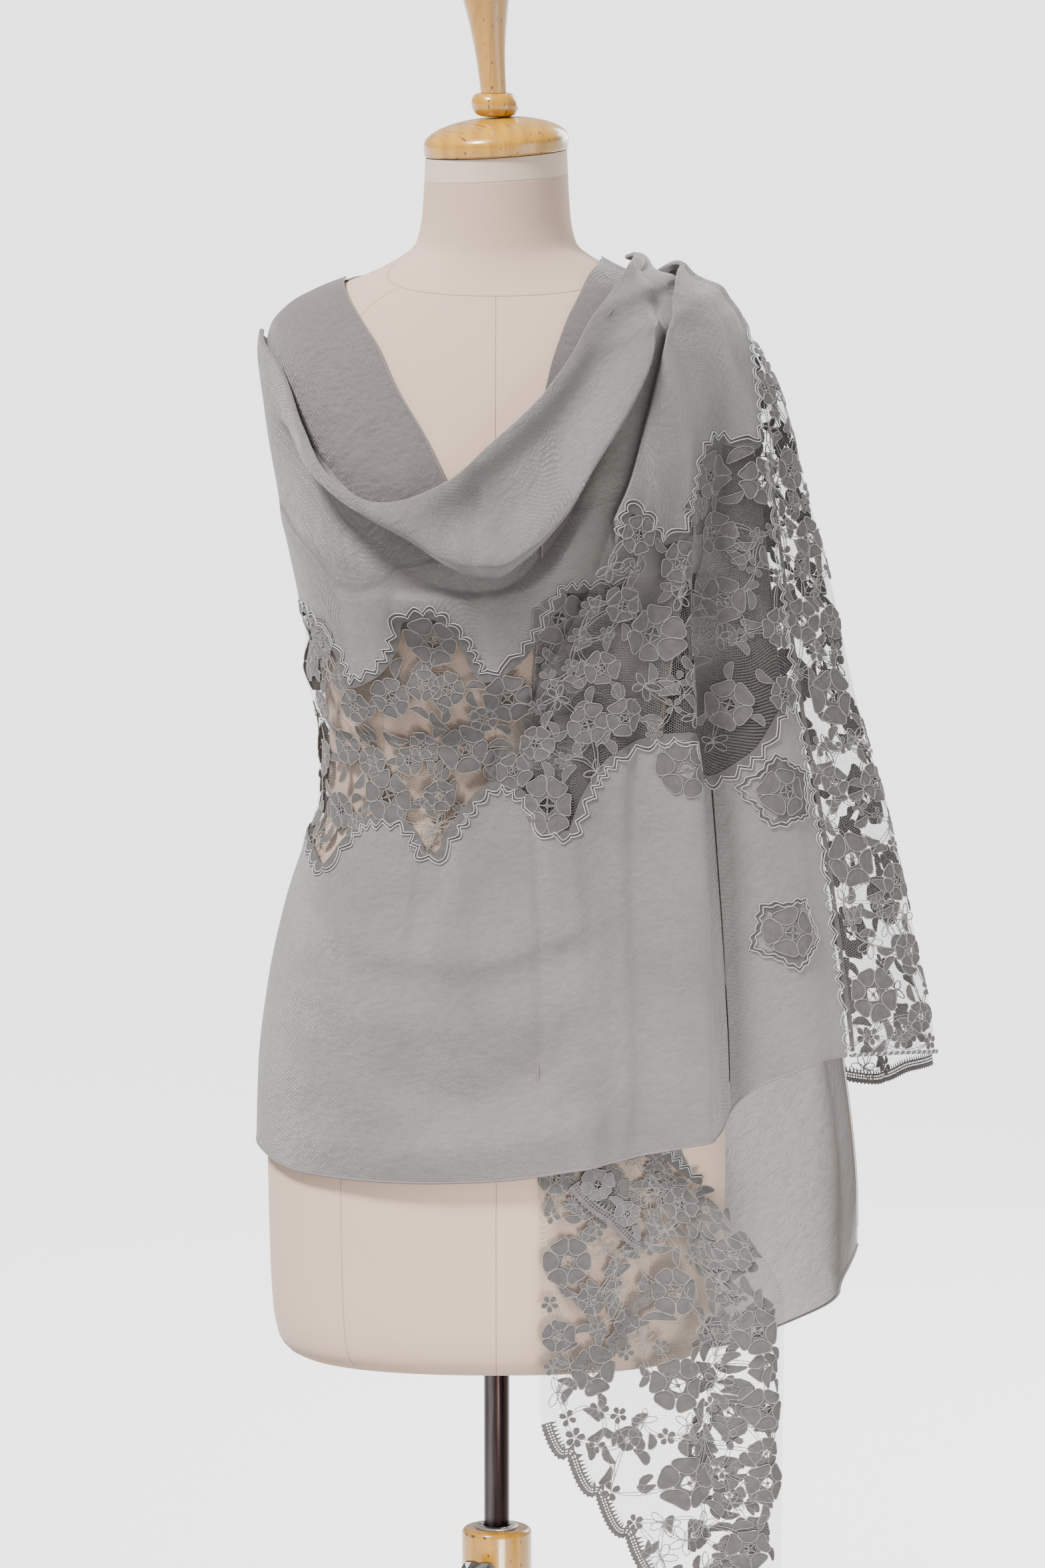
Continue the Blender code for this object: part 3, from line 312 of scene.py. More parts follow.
def hangingFold(turn, rise, fold):
    path, height, reach = fold
    crest = along(path, rise)
    fade = 1 - smoothStep(rise, path[-1][0] - 0.03, path[-1][0] + 0.04)
    return height * fade * np.exp(-(((turn - crest) / reach) ** 2))


def pleats(turn, rise):
    gathered = smoothStep(turn, 25, 62)
    total = 0
    for crest, height in shoulderPleats:
        total = total + height * np.exp(-(((rise - crest) / pleatReach) ** 2))
    return gathered * total


def innerRadius(turn, rise):
    return bodyRadius(turn, rise) + innerStandOff


# the back of the neck edge lies on the form
def backNeckRadius(turn, rise):
    away = smoothStep(along(backNeckEdge, turn) - rise, 0.0, 0.03)
    return bodyRadius(turn, rise) + 0.0014 + (innerStandOff - 0.0014) * away


# the left strip sinks to the form where the cowl covers it
def leftStripRadius(turn, rise):
    shown = smoothStep(rise - along(cowlTop, turn), -0.030, -0.008)
    return bodyRadius(turn, rise) + 0.0012 + (innerStandOff - 0.0012) * shown


def wrapRadius(turn, rise):
    turn = np.where(np.asarray(turn) > 180, np.asarray(turn) - 360.0, turn)
    folds = pleats(turn, rise)
    for name, fold in crossingFolds.items():
        behind = name.startswith("back")
        where = np.where(turn < -99, turn + 360.0, turn) if behind else turn
        folds = folds + crossingFold(where, rise, fold)
    around = np.where(turn < -99, turn + 360.0, turn)
    return bodyRadius(around, rise) + wrapStandOff + np.maximum(folds, -0.0056)


# the lace at the waist lies closer to the form than the wool it is let into
def waistRadius(turn, rise):
    edge = np.minimum(rise - along(waistBandFoot, turn), along(waistBandTop, turn) - rise)
    shown = 1 - smoothStep(turn, 0, 13)
    return wrapRadius(turn, rise) - 0.0038 * shown * smoothStep(edge, 0.004, 0.022)


# a radius read from a table with a row for each rise and a column for each turn
def betweenTurns(turn, rise, turns, rows):
    shape = np.broadcast(turn, rise).shape
    stops = np.array(turns, float)
    where = np.broadcast_to(np.clip(turn, stops[0], stops[-1]), shape)
    stack = np.stack([np.broadcast_to(along(rows, rise, 1 + k), shape) for k in range(len(stops))])
    k = np.clip(np.searchsorted(stops, where, side="right") - 1, 0, len(stops) - 2)
    low = np.take_along_axis(stack, k[None], 0)[0]
    high = np.take_along_axis(stack, k[None] + 1, 0)[0]
    t = (where - stops[k]) / (stops[k + 1] - stops[k])
    return low + (high - low) * (0.5 * t + 0.5 * t * t * (3 - 2 * t))


def outerRadius(turn, rise):
    step = layerStep * smoothStep(turn, -28, -12) * smoothStep(rise, 0.80, 0.93)
    soft = sum(hangingFold(turn, rise, hangingFolds[name]) for name in ("front soft", "front wide"))
    resting = wrapRadius(turn, rise) + step + soft
    free = betweenTurns(turn, rise, fallTurns, fallRadii)
    for fold in hangingFolds.values():
        free = free + hangingFold(turn, rise, fold)
    for name in ("hip sweep", "hip sweep lower", "hip hollow", "hip drag"):
        free = free + crossingFold(turn, rise, crossingFolds[name])
    return larger(resting, free, 0.007)


def backFallRadius(turn, rise):
    free = betweenTurns(turn, rise, backFallTurns, backFallRadii)
    for fold in fallFolds.values():
        free = free + hangingFold(turn, rise, fold)
    rest = 0.0045 - 0.0024 * smoothStep(rise, 1.12, 1.19)
    return larger(wrapRadius(turn, rise) + rest, free, 0.002)


def behindRadius(turn, rise):
    outer = outerRadius(turn, rise)
    apart = larger(outer, backFallRadius(turn, rise) + layerStep)
    return np.where(turn > 88, apart, outer)


def firstRadius(turn, rise):
    hung = 1 - smoothStep(rise, 0.60, 0.72)
    flare = smoothStep(turn, 42, 70)
    gather = smoothStep(turn, 44, 56) * np.sin(np.radians(turn) * 30) * 0.0055
    body = bodyRadius(turn, np.maximum(rise, 0.62))
    return body + innerStandOff + hung * (0.006 + 0.062 * flare + gather)


def ruffleRadius(turn, rise):
    return firstRadius(turn, rise) + ruffleStep


def position(turn, rise, radius):
    dx, dy, dz, foot = ray(turn, rise)
    return np.stack([dx * radius, dy * radius, foot + dz * radius], -1)


def normals(turn, rise, radius):
    smallTurn, smallRise = 0.5, 0.002
    across = position(turn + smallTurn, rise, radius(turn + smallTurn, rise))
    across = across - position(turn - smallTurn, rise, radius(turn - smallTurn, rise))
    up = position(turn, rise + smallRise, radius(turn, rise + smallRise))
    up = up - position(turn, rise - smallRise, radius(turn, rise - smallRise))
    normal = np.cross(across, up)
    return normal / np.linalg.norm(normal, axis=-1, keepdims=True)


# turns and rises of a grid between two side edges and two ends
def patch(columns, rows, left, right, foot, top):
    u = np.linspace(0, 1, columns + 1)[:, None]
    v = np.linspace(0, 1, rows + 1)[None, :]
    turn = left(1.0) + (right(1.0) - left(1.0)) * u + 0 * v
    rise = foot(turn) + (top(turn) - foot(turn)) * v
    for _ in range(6):
        turn = left(rise) + (right(rise) - left(rise)) * u
        rise = foot(turn) + (top(turn) - foot(turn)) * v
    return turn, rise


def curve(rows, shift=0.0):
    return lambda x: along(rows, x) + shift


def fixed(value):
    return lambda x: value + 0 * np.asarray(x, float)


# One value inside a shader, so that sums are written as plain expressions.
class Value:
    def __init__(self, paint, socket):
        self.paint = paint
        self.socket = socket

    def __add__(self, other):
        return self.paint.math("ADD", self, other)

    def __radd__(self, other):
        return self.paint.math("ADD", other, self)

    def __sub__(self, other):
        return self.paint.math("SUBTRACT", self, other)

    def __rsub__(self, other):
        return self.paint.math("SUBTRACT", other, self)

    def __mul__(self, other):
        return self.paint.math("MULTIPLY", self, other)

    def __rmul__(self, other):
        return self.paint.math("MULTIPLY", other, self)

    def __truediv__(self, other):
        return self.paint.math("DIVIDE", self, other)

    def __pow__(self, other):
        return self.paint.math("POWER", self, other)

    def __abs__(self):
        return self.paint.math("ABSOLUTE", self)


# A procedural material: its nodes, and what they feed on its Principled shader.
class Paint:
    def __init__(self, name, color, roughness, metallic=0.0, sheen=0.0, coat=0.0):
        self.material = bpy.data.materials.new(name)
        self.material.use_nodes = True
        self.tree = self.material.node_tree
        self.shader = self.tree.nodes["Principled BSDF"]
        self.color = color
        self.shader.inputs["Base Color"].default_value = (*color, 1)
        self.shader.inputs["Roughness"].default_value = roughness
        self.shader.inputs["Metallic"].default_value = metallic
        self.shader.inputs["Sheen Weight"].default_value = sheen
        self.shader.inputs["Coat Weight"].default_value = coat

    # adds a node: its settings first, then a value or a link for each socket named or numbered
    def node(self, kind, settings=None, inputs=None):
        made = self.tree.nodes.new(kind)
        for key, value in (settings or {}).items():
            setattr(made, key, value)
        for key, value in (inputs or {}).items():
            self.feed(made.inputs[key], value)
        return made

    def feed(self, socket, value):
        if isinstance(value, Value):
            self.tree.links.new(value.socket, socket)
        else:
            socket.default_value = value

    def math(self, operation, *values, clamp=False):
        settings = {"operation": operation, "use_clamp": clamp}
        made = self.node("ShaderNodeMath", settings, dict(enumerate(values)))
        return Value(self, made.outputs[0])

    # across and up the cloth, in millimetres
    def cloth(self):
        flat = self.node("ShaderNodeUVMap", {"uv_map": "cloth"})
        parts = self.node("ShaderNodeSeparateXYZ", inputs={0: Value(self, flat.outputs[0])})
        return Value(self, parts.outputs[0]) * 1000, Value(self, parts.outputs[1]) * 1000

    # the place on the object, in millimetres
    def place(self):
        spot = self.node("ShaderNodeTexCoord")
        parts = self.node("ShaderNodeSeparateXYZ", inputs={0: Value(self, spot.outputs["Object"])})
        return tuple(Value(self, parts.outputs[k]) * 1000 for k in range(3))

    def noise(self, across, up, scale, detail=2.0):
        place = self.node("ShaderNodeCombineXYZ", inputs={0: across * scale, 1: up * scale})
        found = self.node("ShaderNodeTexNoise", inputs={
            "Vector": Value(self, place.outputs[0]), "Scale": 1.0, "Detail": detail,
        })
        return Value(self, found.outputs[0])

    def ramp(self, value, low, high):
        return self.math("DIVIDE", value - low, high - low, clamp=True)

    def mix(self, share, first, second):
        first = first if isinstance(first, Value) else (*first, 1)
        second = second if isinstance(second, Value) else (*second, 1)
        made = self.node("ShaderNodeMix", {"data_type": "RGBA"}, {0: share, 6: first, 7: second})
        return Value(self, made.outputs[2])

    def bump(self, height, distance, strength=1.0):
        made = self.node("ShaderNodeBump", inputs={
            "Height": height, "Distance": distance, "Strength": strength,
        })
        self.feed(self.shader.inputs["Normal"], Value(self, made.outputs[0]))

    def set(self, name, value):
        self.feed(self.shader.inputs[name], value)


# Wool cloth woven in small nested lozenges.
woolCloth = {
    "color": (0.172, 0.159, 0.146), "shade": (0.118, 0.103, 0.096), "mauve": (0.136, 0.110, 0.109),
    # the light colour is painted light: a pale copy of the wool, for lamplight shining through the back fall from
    # behind
    "light": (0.560, 0.545, 0.525), "lozenge": 3.0, "relief": 0.00036, "roughness": 0.62, "sheen": 0.34,
}


def makeWool(name, tint=0.0, toward="mauve"):
    paint = Paint(name, woolCloth["color"], woolCloth["roughness"], sheen=woolCloth["sheen"])
    across, up = paint.cloth()
    size = woolCloth["lozenge"]
    nested = abs(paint.math("FRACT", across / size) - 0.5) + abs(paint.math("FRACT", up / size) - 0.5)
    ripple = paint.math("SINE", nested * (2 * math.pi * 3)) * 0.5 + 0.5
    cloudy = paint.ramp(paint.noise(across, up, 0.012, 3.0), 0.35, 0.70)
    fine = paint.ramp(paint.noise(across + up * 0.7, up * 0.5 - across * 0.25, 0.45, 2.0), 0.36, 0.64)
    coarse = paint.ramp(paint.noise(across * 0.5 + up * 0.4, up - across * 0.3, 0.22, 1.0), 0.36, 0.64)
    crinkle = fine * 0.5 + coarse * 0.5
    swell = paint.noise(across, up, 0.035, 2.0)
    color, other = woolCloth["color"], woolCloth[toward]
    plain = paint.mix(cloudy * 0.7, color, woolCloth["shade"])
    tinted = paint.mix(tint, plain, other)
    dark = tuple(0.50 * (a + (b - a) * tint) for a, b in zip(color, other))
    paint.set("Base Color", paint.mix(ripple * 0.12 + crinkle * 0.32, tinted, dark))
    paint.bump(ripple * 0.7 - crinkle * 1.6 + swell * 9.0, woolCloth["relief"])
    paint.shader.inputs["Sheen Roughness"].default_value = 0.4
    return paint.material


# The six-sided net between the lace flowers.
netCloth = {"color": (0.130, 0.120, 0.112), "mesh": 1.8, "open": -1.02, "soft": 0.22, "roughness": 0.8}


def makeNet(name):
    paint = Paint(name, netCloth["color"], netCloth["roughness"])
    across, up = paint.cloth()
    turn = 4 * math.pi / (netCloth["mesh"] * math.sqrt(3))
    first = paint.math("COSINE", across * turn)
    second = paint.math("COSINE", (across * -0.5 + up * 0.8660) * turn)
    third = paint.math("COSINE", (across * -0.5 - up * 0.8660) * turn)
    hole = first + second + third
    paint.set("Alpha", 1 - paint.ramp(hole, netCloth["open"] - netCloth["soft"], netCloth["open"] + netCloth["soft"]))
    return paint.material


# The cloth cover of the form, with sewn seams down it, round the neck and under the cap.
cover = {
    "color": (0.500, 0.350, 0.262), "band": (0.600, 0.470, 0.370), "line": (0.240, 0.160, 0.120),
    "seams": (0, 40, -40, 90, -90, 140, -140, 180), "lineWidth": 0.55, "perDegree": 2.6,
    "neckSeam": 1318.0, "neckSeamRise": 27.0, "bandFoot": 1397.0,
}


def makeCover():
    paint = Paint("cover", cover["color"], 0.88, sheen=0.15)
    across, up = paint.cloth()
    neck = cover["neckSeam"] + (across / (90 * cover["perDegree"])) ** 2 * cover["neckSeamRise"]
    line = paint.ramp(abs(up - neck) * -1.0, -1.1 * cover["lineWidth"], 0.0)
    below = paint.ramp(neck - up, 0.0, 0.5)
    for turn in cover["seams"]:
        away = abs(across - turn * cover["perDegree"])
        line = paint.math("MAXIMUM", line, paint.ramp(away * -1.0, -cover["lineWidth"], 0.0) * below)
    bandLine = paint.ramp(abs(up - cover["bandFoot"]) * -1.0, -1.0, 0.0)
    line = paint.math("MAXIMUM", line, bandLine * 0.5)
    band = paint.ramp(up, cover["bandFoot"] - 0.5, cover["bandFoot"] + 0.5)
    cloudy = paint.ramp(paint.noise(across, up, 0.011, 3.0), 0.3, 0.75)
    weave = paint.noise(across, up, 1.1, 1.0)
    ground = paint.mix(band, cover["color"], cover["band"])
    ground = paint.mix(cloudy * 0.16 + weave * 0.08, ground, tuple(0.80 * part for part in cover["color"]))
    paint.set("Base Color", paint.mix(line * 0.55, ground, cover["line"]))
    paint.bump(weave * 0.25 - line, 0.0004)
    return paint.material


# Honey varnished wood with long grain and a few small dark nicks.
wood = {"light": (0.470, 0.235, 0.014), "dark": (0.250, 0.095, 0.005), "nick": (0.08, 0.035, 0.012)}


def makeWood():
    paint = Paint("wood", wood["light"], 0.30, coat=0.35)
    x, y, z = paint.place()
    streak = paint.noise(x + y * 0.4, z * 0.06, 0.55, 4.0)
    ring = paint.math("SINE", x * 0.55 + streak * 5.0) * 0.5 + 0.5
    nicks = paint.ramp(paint.noise(x * 1.3 + y, z * 0.7, 0.33, 0.0), 0.74, 0.78)
    grain = paint.mix(ring * 0.30 + paint.ramp(streak, 0.35, 0.75) * 0.45, wood["light"], wood["dark"])
    paint.set("Base Color", paint.mix(nicks, grain, wood["nick"]))
    paint.set("Roughness", streak * 0.22 + 0.16)
    return paint.material


# Polished steel. Bright stripes run up it, as a round bar shows the lamps round it; they are painted reflections in its
# base colour.
def makeSteel(name, color, roughness, paintedReflection=0.0):
    paint = Paint(name, color, roughness, metallic=1.0)
    x, y, z = paint.place()
    streak = paint.noise(x + y, z * 0.03, 0.9, 3.0)
    dull = paint.ramp(streak, 0.35, 0.7)
    ground = paint.mix(dull * 0.6, color, tuple(0.45 * part for part in color))
    if paintedReflection:
        around = paint.math("ARCTAN2", y, x)
        paintedGlint = paint.math("SINE", around * 3.0 + streak * 1.4 + 0.9) * 0.5 + 0.5
        # the stripes are painted reflection: a pale colour mixed into the steel where the lamps would be seen
        ground = paint.mix((paintedGlint ** 5.0) * paintedReflection, ground, (0.80, 0.78, 0.76))
    paint.set("Base Color", ground)
    paint.set("Roughness", streak * 0.2 + roughness - 0.06)
    return paint.material


# The close-woven thread that fills the petals, mottled, with fine threads across it.
def makeThread(name, color):
    paint = Paint(name, color, 0.80, sheen=0.12)
    x, y, z = paint.place()
    mottle = paint.ramp(paint.noise(x + y, z, 0.16, 2.0), 0.35, 0.68)
    fine = paint.noise(x * 0.9 + y, z + x * 0.6, 1.5, 1.0)
    light = tuple(1.45 * part for part in color)
    paint.set("Base Color", paint.mix(mottle * 0.6 + fine * 0.35, tuple(0.80 * part for part in color), light))
    paint.bump(fine, 0.0002)
    return paint.material


def makePlain(name, color, roughness, **more):
    return Paint(name, color, roughness, **more).material


materials = {
    "wool": makeWool("wool"),
    "mauveWool": makeWool("mauveWool", 0.8),
    # a paler copy of the wool, its colour painted light for the back fall lit through from behind
    "paintedBacklitWool": makeWool("paintedBacklitWool", 0.9, "light"),
    "net": makeNet("net"),
    "thread": makeThread("thread", (0.050, 0.044, 0.041)),
    "outline": makePlain("outline", (0.150, 0.140, 0.132), 0.70, sheen=0.10),
    "mauveThread": makeThread("mauveThread", (0.078, 0.067, 0.069)),
    "cord": makePlain("cord", (0.29, 0.29, 0.29), 0.50, sheen=0.15),
    "darkCord": makePlain("darkCord", (0.060, 0.052, 0.052), 0.60, sheen=0.1),
    "cover": makeCover(),
    "wood": makeWood(),
    # the pole's steel carries a little painted reflection, in stripes
    "steel": makeSteel("steel", (0.016, 0.010, 0.0095), 0.20, 0.06),
    "greySteel": makeSteel("greySteel", (0.50, 0.49, 0.48), 0.38),
    "plastic": makePlain("plastic", (0.012, 0.011, 0.011), 0.38, coat=0.15),
    "iron": makePlain("iron", (0.022, 0.021, 0.020), 0.45),
}
print("materials made")


def addMesh(name, points, faces, material, flat=None):
    mesh = bpy.data.meshes.new(name)
    mesh.from_pydata(np.asarray(points, float).tolist(), [], faces)
    if flat is not None:
        layer = mesh.uv_layers.new(name="cloth")
        index = np.empty(len(mesh.loops), np.int32)
        mesh.loops.foreach_get("vertex_index", index)
        layer.data.foreach_set("uv", np.asarray(flat, np.float32)[index].ravel())
    mesh.shade_smooth()
    mesh.materials.append(material)
    made = bpy.data.objects.new(name, mesh)
    bpy.context.scene.collection.objects.link(made)
    return made


# lengths along and up a grid of points, from its middle, for the weave and the net to follow
def flatPlaces(points):
    across = np.linalg.norm(np.diff(points, axis=0), axis=-1)
    across = np.concatenate([np.zeros((1, points.shape[1])), np.cumsum(across, axis=0)])
    up = np.linalg.norm(np.diff(points, axis=1), axis=-1)
    up = np.concatenate([np.zeros((points.shape[0], 1)), np.cumsum(up, axis=1)], axis=1)
    return np.stack([across - across[across.shape[0] // 2], up], -1)


def gridFaces(columns, rows, start=0, flip=False):
    i, j = np.meshgrid(np.arange(columns - 1), np.arange(rows - 1), indexing="ij")
    a = start + i * rows + j
    corners = [a, a + rows, a + rows + 1, a + 1]
    if flip:
        corners.reverse()
    return np.stack([corner.ravel() for corner in corners], -1).tolist()


def rimFaces(columns, rows, count):
    edge = [(i, 0) for i in range(columns - 1)]
    edge += [(columns - 1, j) for j in range(rows - 1)]
    edge += [(i, rows - 1) for i in range(columns - 1, 0, -1)]
    edge += [(0, j) for j in range(rows - 1, 0, -1)]
    faces = []
    for (i, j), (k, m) in zip(edge, edge[1:] + edge[:1]):
        a, b = i * rows + j, k * rows + m
        faces.append((b, a, a + count, b + count))
    return faces


# turns the top edge of a wall back under itself, as the folded cloth does
def withLip(outer, inner, thickness, depth, drop):
    edge = outer[:, -1]
    inwards = inner[:, -1] - edge
    inwards = inwards / np.linalg.norm(inwards, axis=-1, keepdims=True)
    down = outer[:, -2] - edge
    down = down / np.linalg.norm(down, axis=-1, keepdims=True)
    outside, inside = [outer], [inner]
    for step in range(1, 9):
        angle = math.pi * step / 8
        reach = depth / 2 * (1 - math.cos(angle))
        lift = depth * 0.45 * math.sin(angle)
        outside.append((edge + inwards * reach - down * lift)[:, None])
        inside.append((edge + inwards * (depth / 2 * (1 - math.cos(angle)) * 0.5 + thickness * 0.6)
                       - down * (lift * 0.35))[:, None])
    outside.append((edge + inwards * depth + down * drop)[:, None])
    inside.append((edge + inwards * (depth - thickness) + down * drop)[:, None])
    return np.concatenate(outside, axis=1), np.concatenate(inside, axis=1)


# A stretch of cloth: a closed thin wall, or one layer for net.
def makeStretch(name, grid, radius, material, thickness=0.0009, lip=None, inset=0.0):
    turn, rise = grid
    outer = position(turn, rise, radius(turn, rise))
    away = normals(turn, rise, radius)
    outer = outer - away * inset
    flat = flatPlaces(outer)
    columns, rows = outer.shape[:2]
    if thickness == 0:
        points = outer.reshape(-1, 3)
        return addMesh(name, points, gridFaces(columns, rows), material, flat.reshape(-1, 2))
    inner = outer - away * thickness
    if lip:
        outer, inner = withLip(outer, inner, thickness, *lip)
        flat = flatPlaces(outer)
        columns, rows = outer.shape[:2]
    count = columns * rows
    points = np.concatenate([outer.reshape(-1, 3), inner.reshape(-1, 3)])
    faces = gridFaces(columns, rows) + gridFaces(columns, rows, count, True)
    faces += rimFaces(columns, rows, count)
    flat = np.concatenate([flat.reshape(-1, 2)] * 2)
    made = addMesh(name, points, faces, material, flat)
    made.data.set_sharp_from_angle(angle=math.radians(55))
    return made


def panelTop(turn):
    edge = along(panelEdge, turn)
    band = along(panelBandTop, turn)
    return np.where(turn < 33.5, edge, np.minimum(edge, band))


def fanEdge(turn):
    return along(fanFoot, turn) + 0.004 * (1 - np.abs(np.sin(np.radians(turn) * 12)))


def ruffleEdge(turn):
    return along(ruffleFoot, turn) + 0.003 * (1 - np.abs(np.sin(np.radians(turn) * 15)))


def endLaceEdge(turn):
    return along(endLaceFoot, turn) - 0.002 + 0.011 * (1 - np.abs(np.sin(np.radians(turn - 15) * 20.5)) ** 0.8)


# Every stretch of cloth: columns, rows, side edges, foot and top, the surface it lies on, its material,
# how it is held, the flat size of its cut, and what it rests on.
stretches = {
    "first_stretch": {
        "grid": (44, 170), "sides": (fixed(firstLeft), curve(firstRight)),
        "ends": (curve(endLaceTop, seam), curve(firstTop)), "surface": firstRadius,
        "look": "mauveWool", "held": "draped", "cut": (0.10, 0.62), "on": ["torso"],
    },
    "left_shoulder": {
        "grid": (80, 60), "sides": (fixed(-90), fixed(0)),
        "ends": (fixed(1.100), curve(neckEdgeLeft)), "surface": leftStripRadius,
        "look": "mauveWool", "held": "draped", "cut": (0.22, 0.18), "on": ["torso"],
    },
    "back_upper": {
        "grid": (120, 60), "sides": (fixed(90.2), fixed(270)),
        "ends": (fixed(1.140), curve(backNeckEdge)), "surface": backNeckRadius,
        "look": "wool", "held": "draped", "cut": (0.42, 0.20), "on": ["torso"],
    },
    "bodice_cowl": {
        "grid": (180, 140), "sides": (fixed(-90), fixed(87)),
        "ends": (curve(waistBandTop, 0.0004), curve(cowlTop)), "surface": wrapRadius,
        "look": "wool", "held": "draped", "cut": (0.44, 0.22), "on": ["torso"], "lip": (0.0036, 0.008),
    },
    "waist_band": {
        "grid": (150, 50), "sides": (fixed(-90), fixed(42)),
        "ends": (curve(waistBandFoot, 0.0004), curve(waistBandTop)), "surface": waistRadius,
        "look": "net", "held": "draped", "cut": (0.30, 0.14), "on": ["torso"],
    },
    "back_mid": {
        "grid": (110, 30), "sides": (fixed(92), fixed(270)),
        "ends": (curve(backBandTop, 0.0004), curve(backEdge)), "surface": wrapRadius,
        "look": "wool", "held": "draped", "cut": (0.41, 0.13), "on": ["torso"],
    },
    "back_band": {
        "grid": (110, 44), "sides": (fixed(92), fixed(270)),
        "ends": (curve(backBandFoot, 0.0004), curve(backBandTop)), "surface": wrapRadius,
        "look": "net", "held": "draped", "cut": (0.38, 0.14), "on": ["torso"],
    },
    "back_lower": {
        "grid": (110, 64), "sides": (fixed(92), fixed(270)),
        "ends": (curve(backHem), curve(backBandFoot)), "surface": wrapRadius,
        "look": "wool", "held": "draped", "cut": (0.45, 0.22), "on": ["torso"],
    },
    "lower_wrap": {
        "grid": (150, 90), "sides": (fixed(-90), fixed(66)),
        "ends": (curve(hemEdge), curve(wrapTop)), "surface": outerRadius,
        "look": "wool", "held": "draped", "cut": (0.42, 0.25), "on": ["torso"],
    },
    "outer_band": {
        "grid": (90, 60), "sides": (fixed(-3), fixed(79)),
        "ends": (curve(wrapTop, 0.0004), panelTop), "surface": outerRadius,
        "look": "net", "held": "draped", "cut": (0.26, 0.19), "on": ["torso"],
    },
    "outer_panel": {
        "grid": (110, 34), "sides": (fixed(35), fixed(140)),
        "ends": (curve(panelBandTop, 0.0004), curve(panelEdge)), "surface": behindRadius,
        "look": "wool", "held": "draped", "cut": (0.33, 0.07), "on": ["torso"], "lip": (0.0036, 0.004),
    },
    "side_fall": {
        "grid": (26, 90), "sides": (fixed(66.2), fixed(79)),
        "ends": (curve(hemEdge), curve(wrapTop)), "surface": outerRadius,
        "look": "wool", "held": "hung", "cut": (0.08, 0.25), "on": ["outer_panel"],
    },
    "side_band": {
        "grid": (24, 150), "sides": (fixed(79.2), fixed(91)),
        "ends": (curve(hemEdge), curve(panelBandTop)), "surface": outerRadius,
        "look": "net", "held": "hung", "cut": (0.07, 0.50), "on": ["outer_panel"],
    },
    "second_end_lace": {
        "grid": (90, 130), "sides": (fixed(91.2), fixed(136)),
        "ends": (fanEdge, curve(panelBandTop, -seam)), "surface": behindRadius,
        "look": "net", "held": "hung", "cut": (0.20, 0.52), "on": ["outer_panel"],
    },
    "back_fall": {
        "grid": (120, 150), "sides": (fixed(86), fixed(206)),
        "ends": (curve(fallHem), curve(fallTop)), "surface": backFallRadius,
        # its wool is painted pale, as light shining through it from behind
        "look": "paintedBacklitWool", "held": "hung", "cut": (0.40, 0.66), "on": ["back_mid"],
    },
    "first_end_lace": {
        "grid": (60, 110), "sides": (fixed(firstLeft), curve(firstRight)),
        "ends": (endLaceEdge, curve(endLaceTop)), "surface": firstRadius,
        "look": "net", "held": "hung", "cut": (0.16, 0.34), "on": ["first_stretch"],
    },
    "first_end_ruffle": {
        "grid": (40, 24), "sides": (fixed(24), fixed(45)),
        "ends": (ruffleEdge, curve(hemEdge, -0.002)), "surface": ruffleRadius,
        "look": "net", "held": "hung", "cut": (0.06, 0.04), "on": ["first_end_lace"],
    },
}


def meshArea(made):
    return sum(polygon.area for polygon in made.data.polygons)


def addStretch(name, facts):
    columns, rows = facts["grid"]
    grid = patch(columns, rows, *facts["sides"], *facts["ends"])
    sheer = facts["look"] == "net"
    made = makeStretch(
        name + "_cloth", grid, facts["surface"], materials[facts["look"]],
        thickness=0.0 if sheer else 0.0009, lip=facts.get("lip"), inset=0.0006 if sheer else 0.0,
    )
    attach(made, "form")
    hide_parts(name)
    width, length = facts["cut"]
    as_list(facts["on"])
    layers = 1 if sheer else 2
    print(name, "area", round(meshArea(made) / layers, 4), "cut", round(width * length, 4),
          "triangles", sum(len(p.vertices) - 2 for p in made.data.polygons))
    return made


sheets = {name: addStretch(name, facts) for name, facts in stretches.items()}
print("cloth made")


# The dress form: a covered body, and round pieces turned about the pole.
def makeTorso(sides=160, rings=190):
    angle = np.linspace(-math.pi, math.pi, sides + 1)[None, :]
    z = np.concatenate([[0.5522, 0.5535], np.linspace(0.556, 1.4138, rings)])[:, None]
    power = along(torsoRows, z, 4)
    sine, cosine = np.sin(angle), -np.cos(angle)
    depth = np.where(cosine < 0, along(torsoRows, z, 2), along(torsoRows, z, 3))
    reach = (np.abs(sine) ** power + np.abs(cosine) ** power) ** (-1 / power)
    x, y = along(torsoRows, z, 1) * sine * reach, depth * cosine * reach
    points = np.stack([x, y, z + capSlope * smoothStep(z, 1.350, 1.414) * x], -1)
    turn = np.degrees(angle) + 0 * z
    flat = np.stack([turn * cover["perDegree"] / 1000, z + 0 * turn], -1).reshape(-1, 2)
    rows, columns = points.shape[:2]
    faces = gridFaces(rows, columns, flip=True)
    points = points.reshape(-1, 3)
    for ring, flip in ((0, False), (rows - 1, True)):
        loop = [ring * columns + k for k in range(columns - 1)]
        faces.append(tuple(loop[::-1] if flip is False else loop))
    made = addMesh("form_cover", points, faces, materials["cover"], flat)
    made.data.set_sharp_from_angle(angle=math.radians(50))
    return made


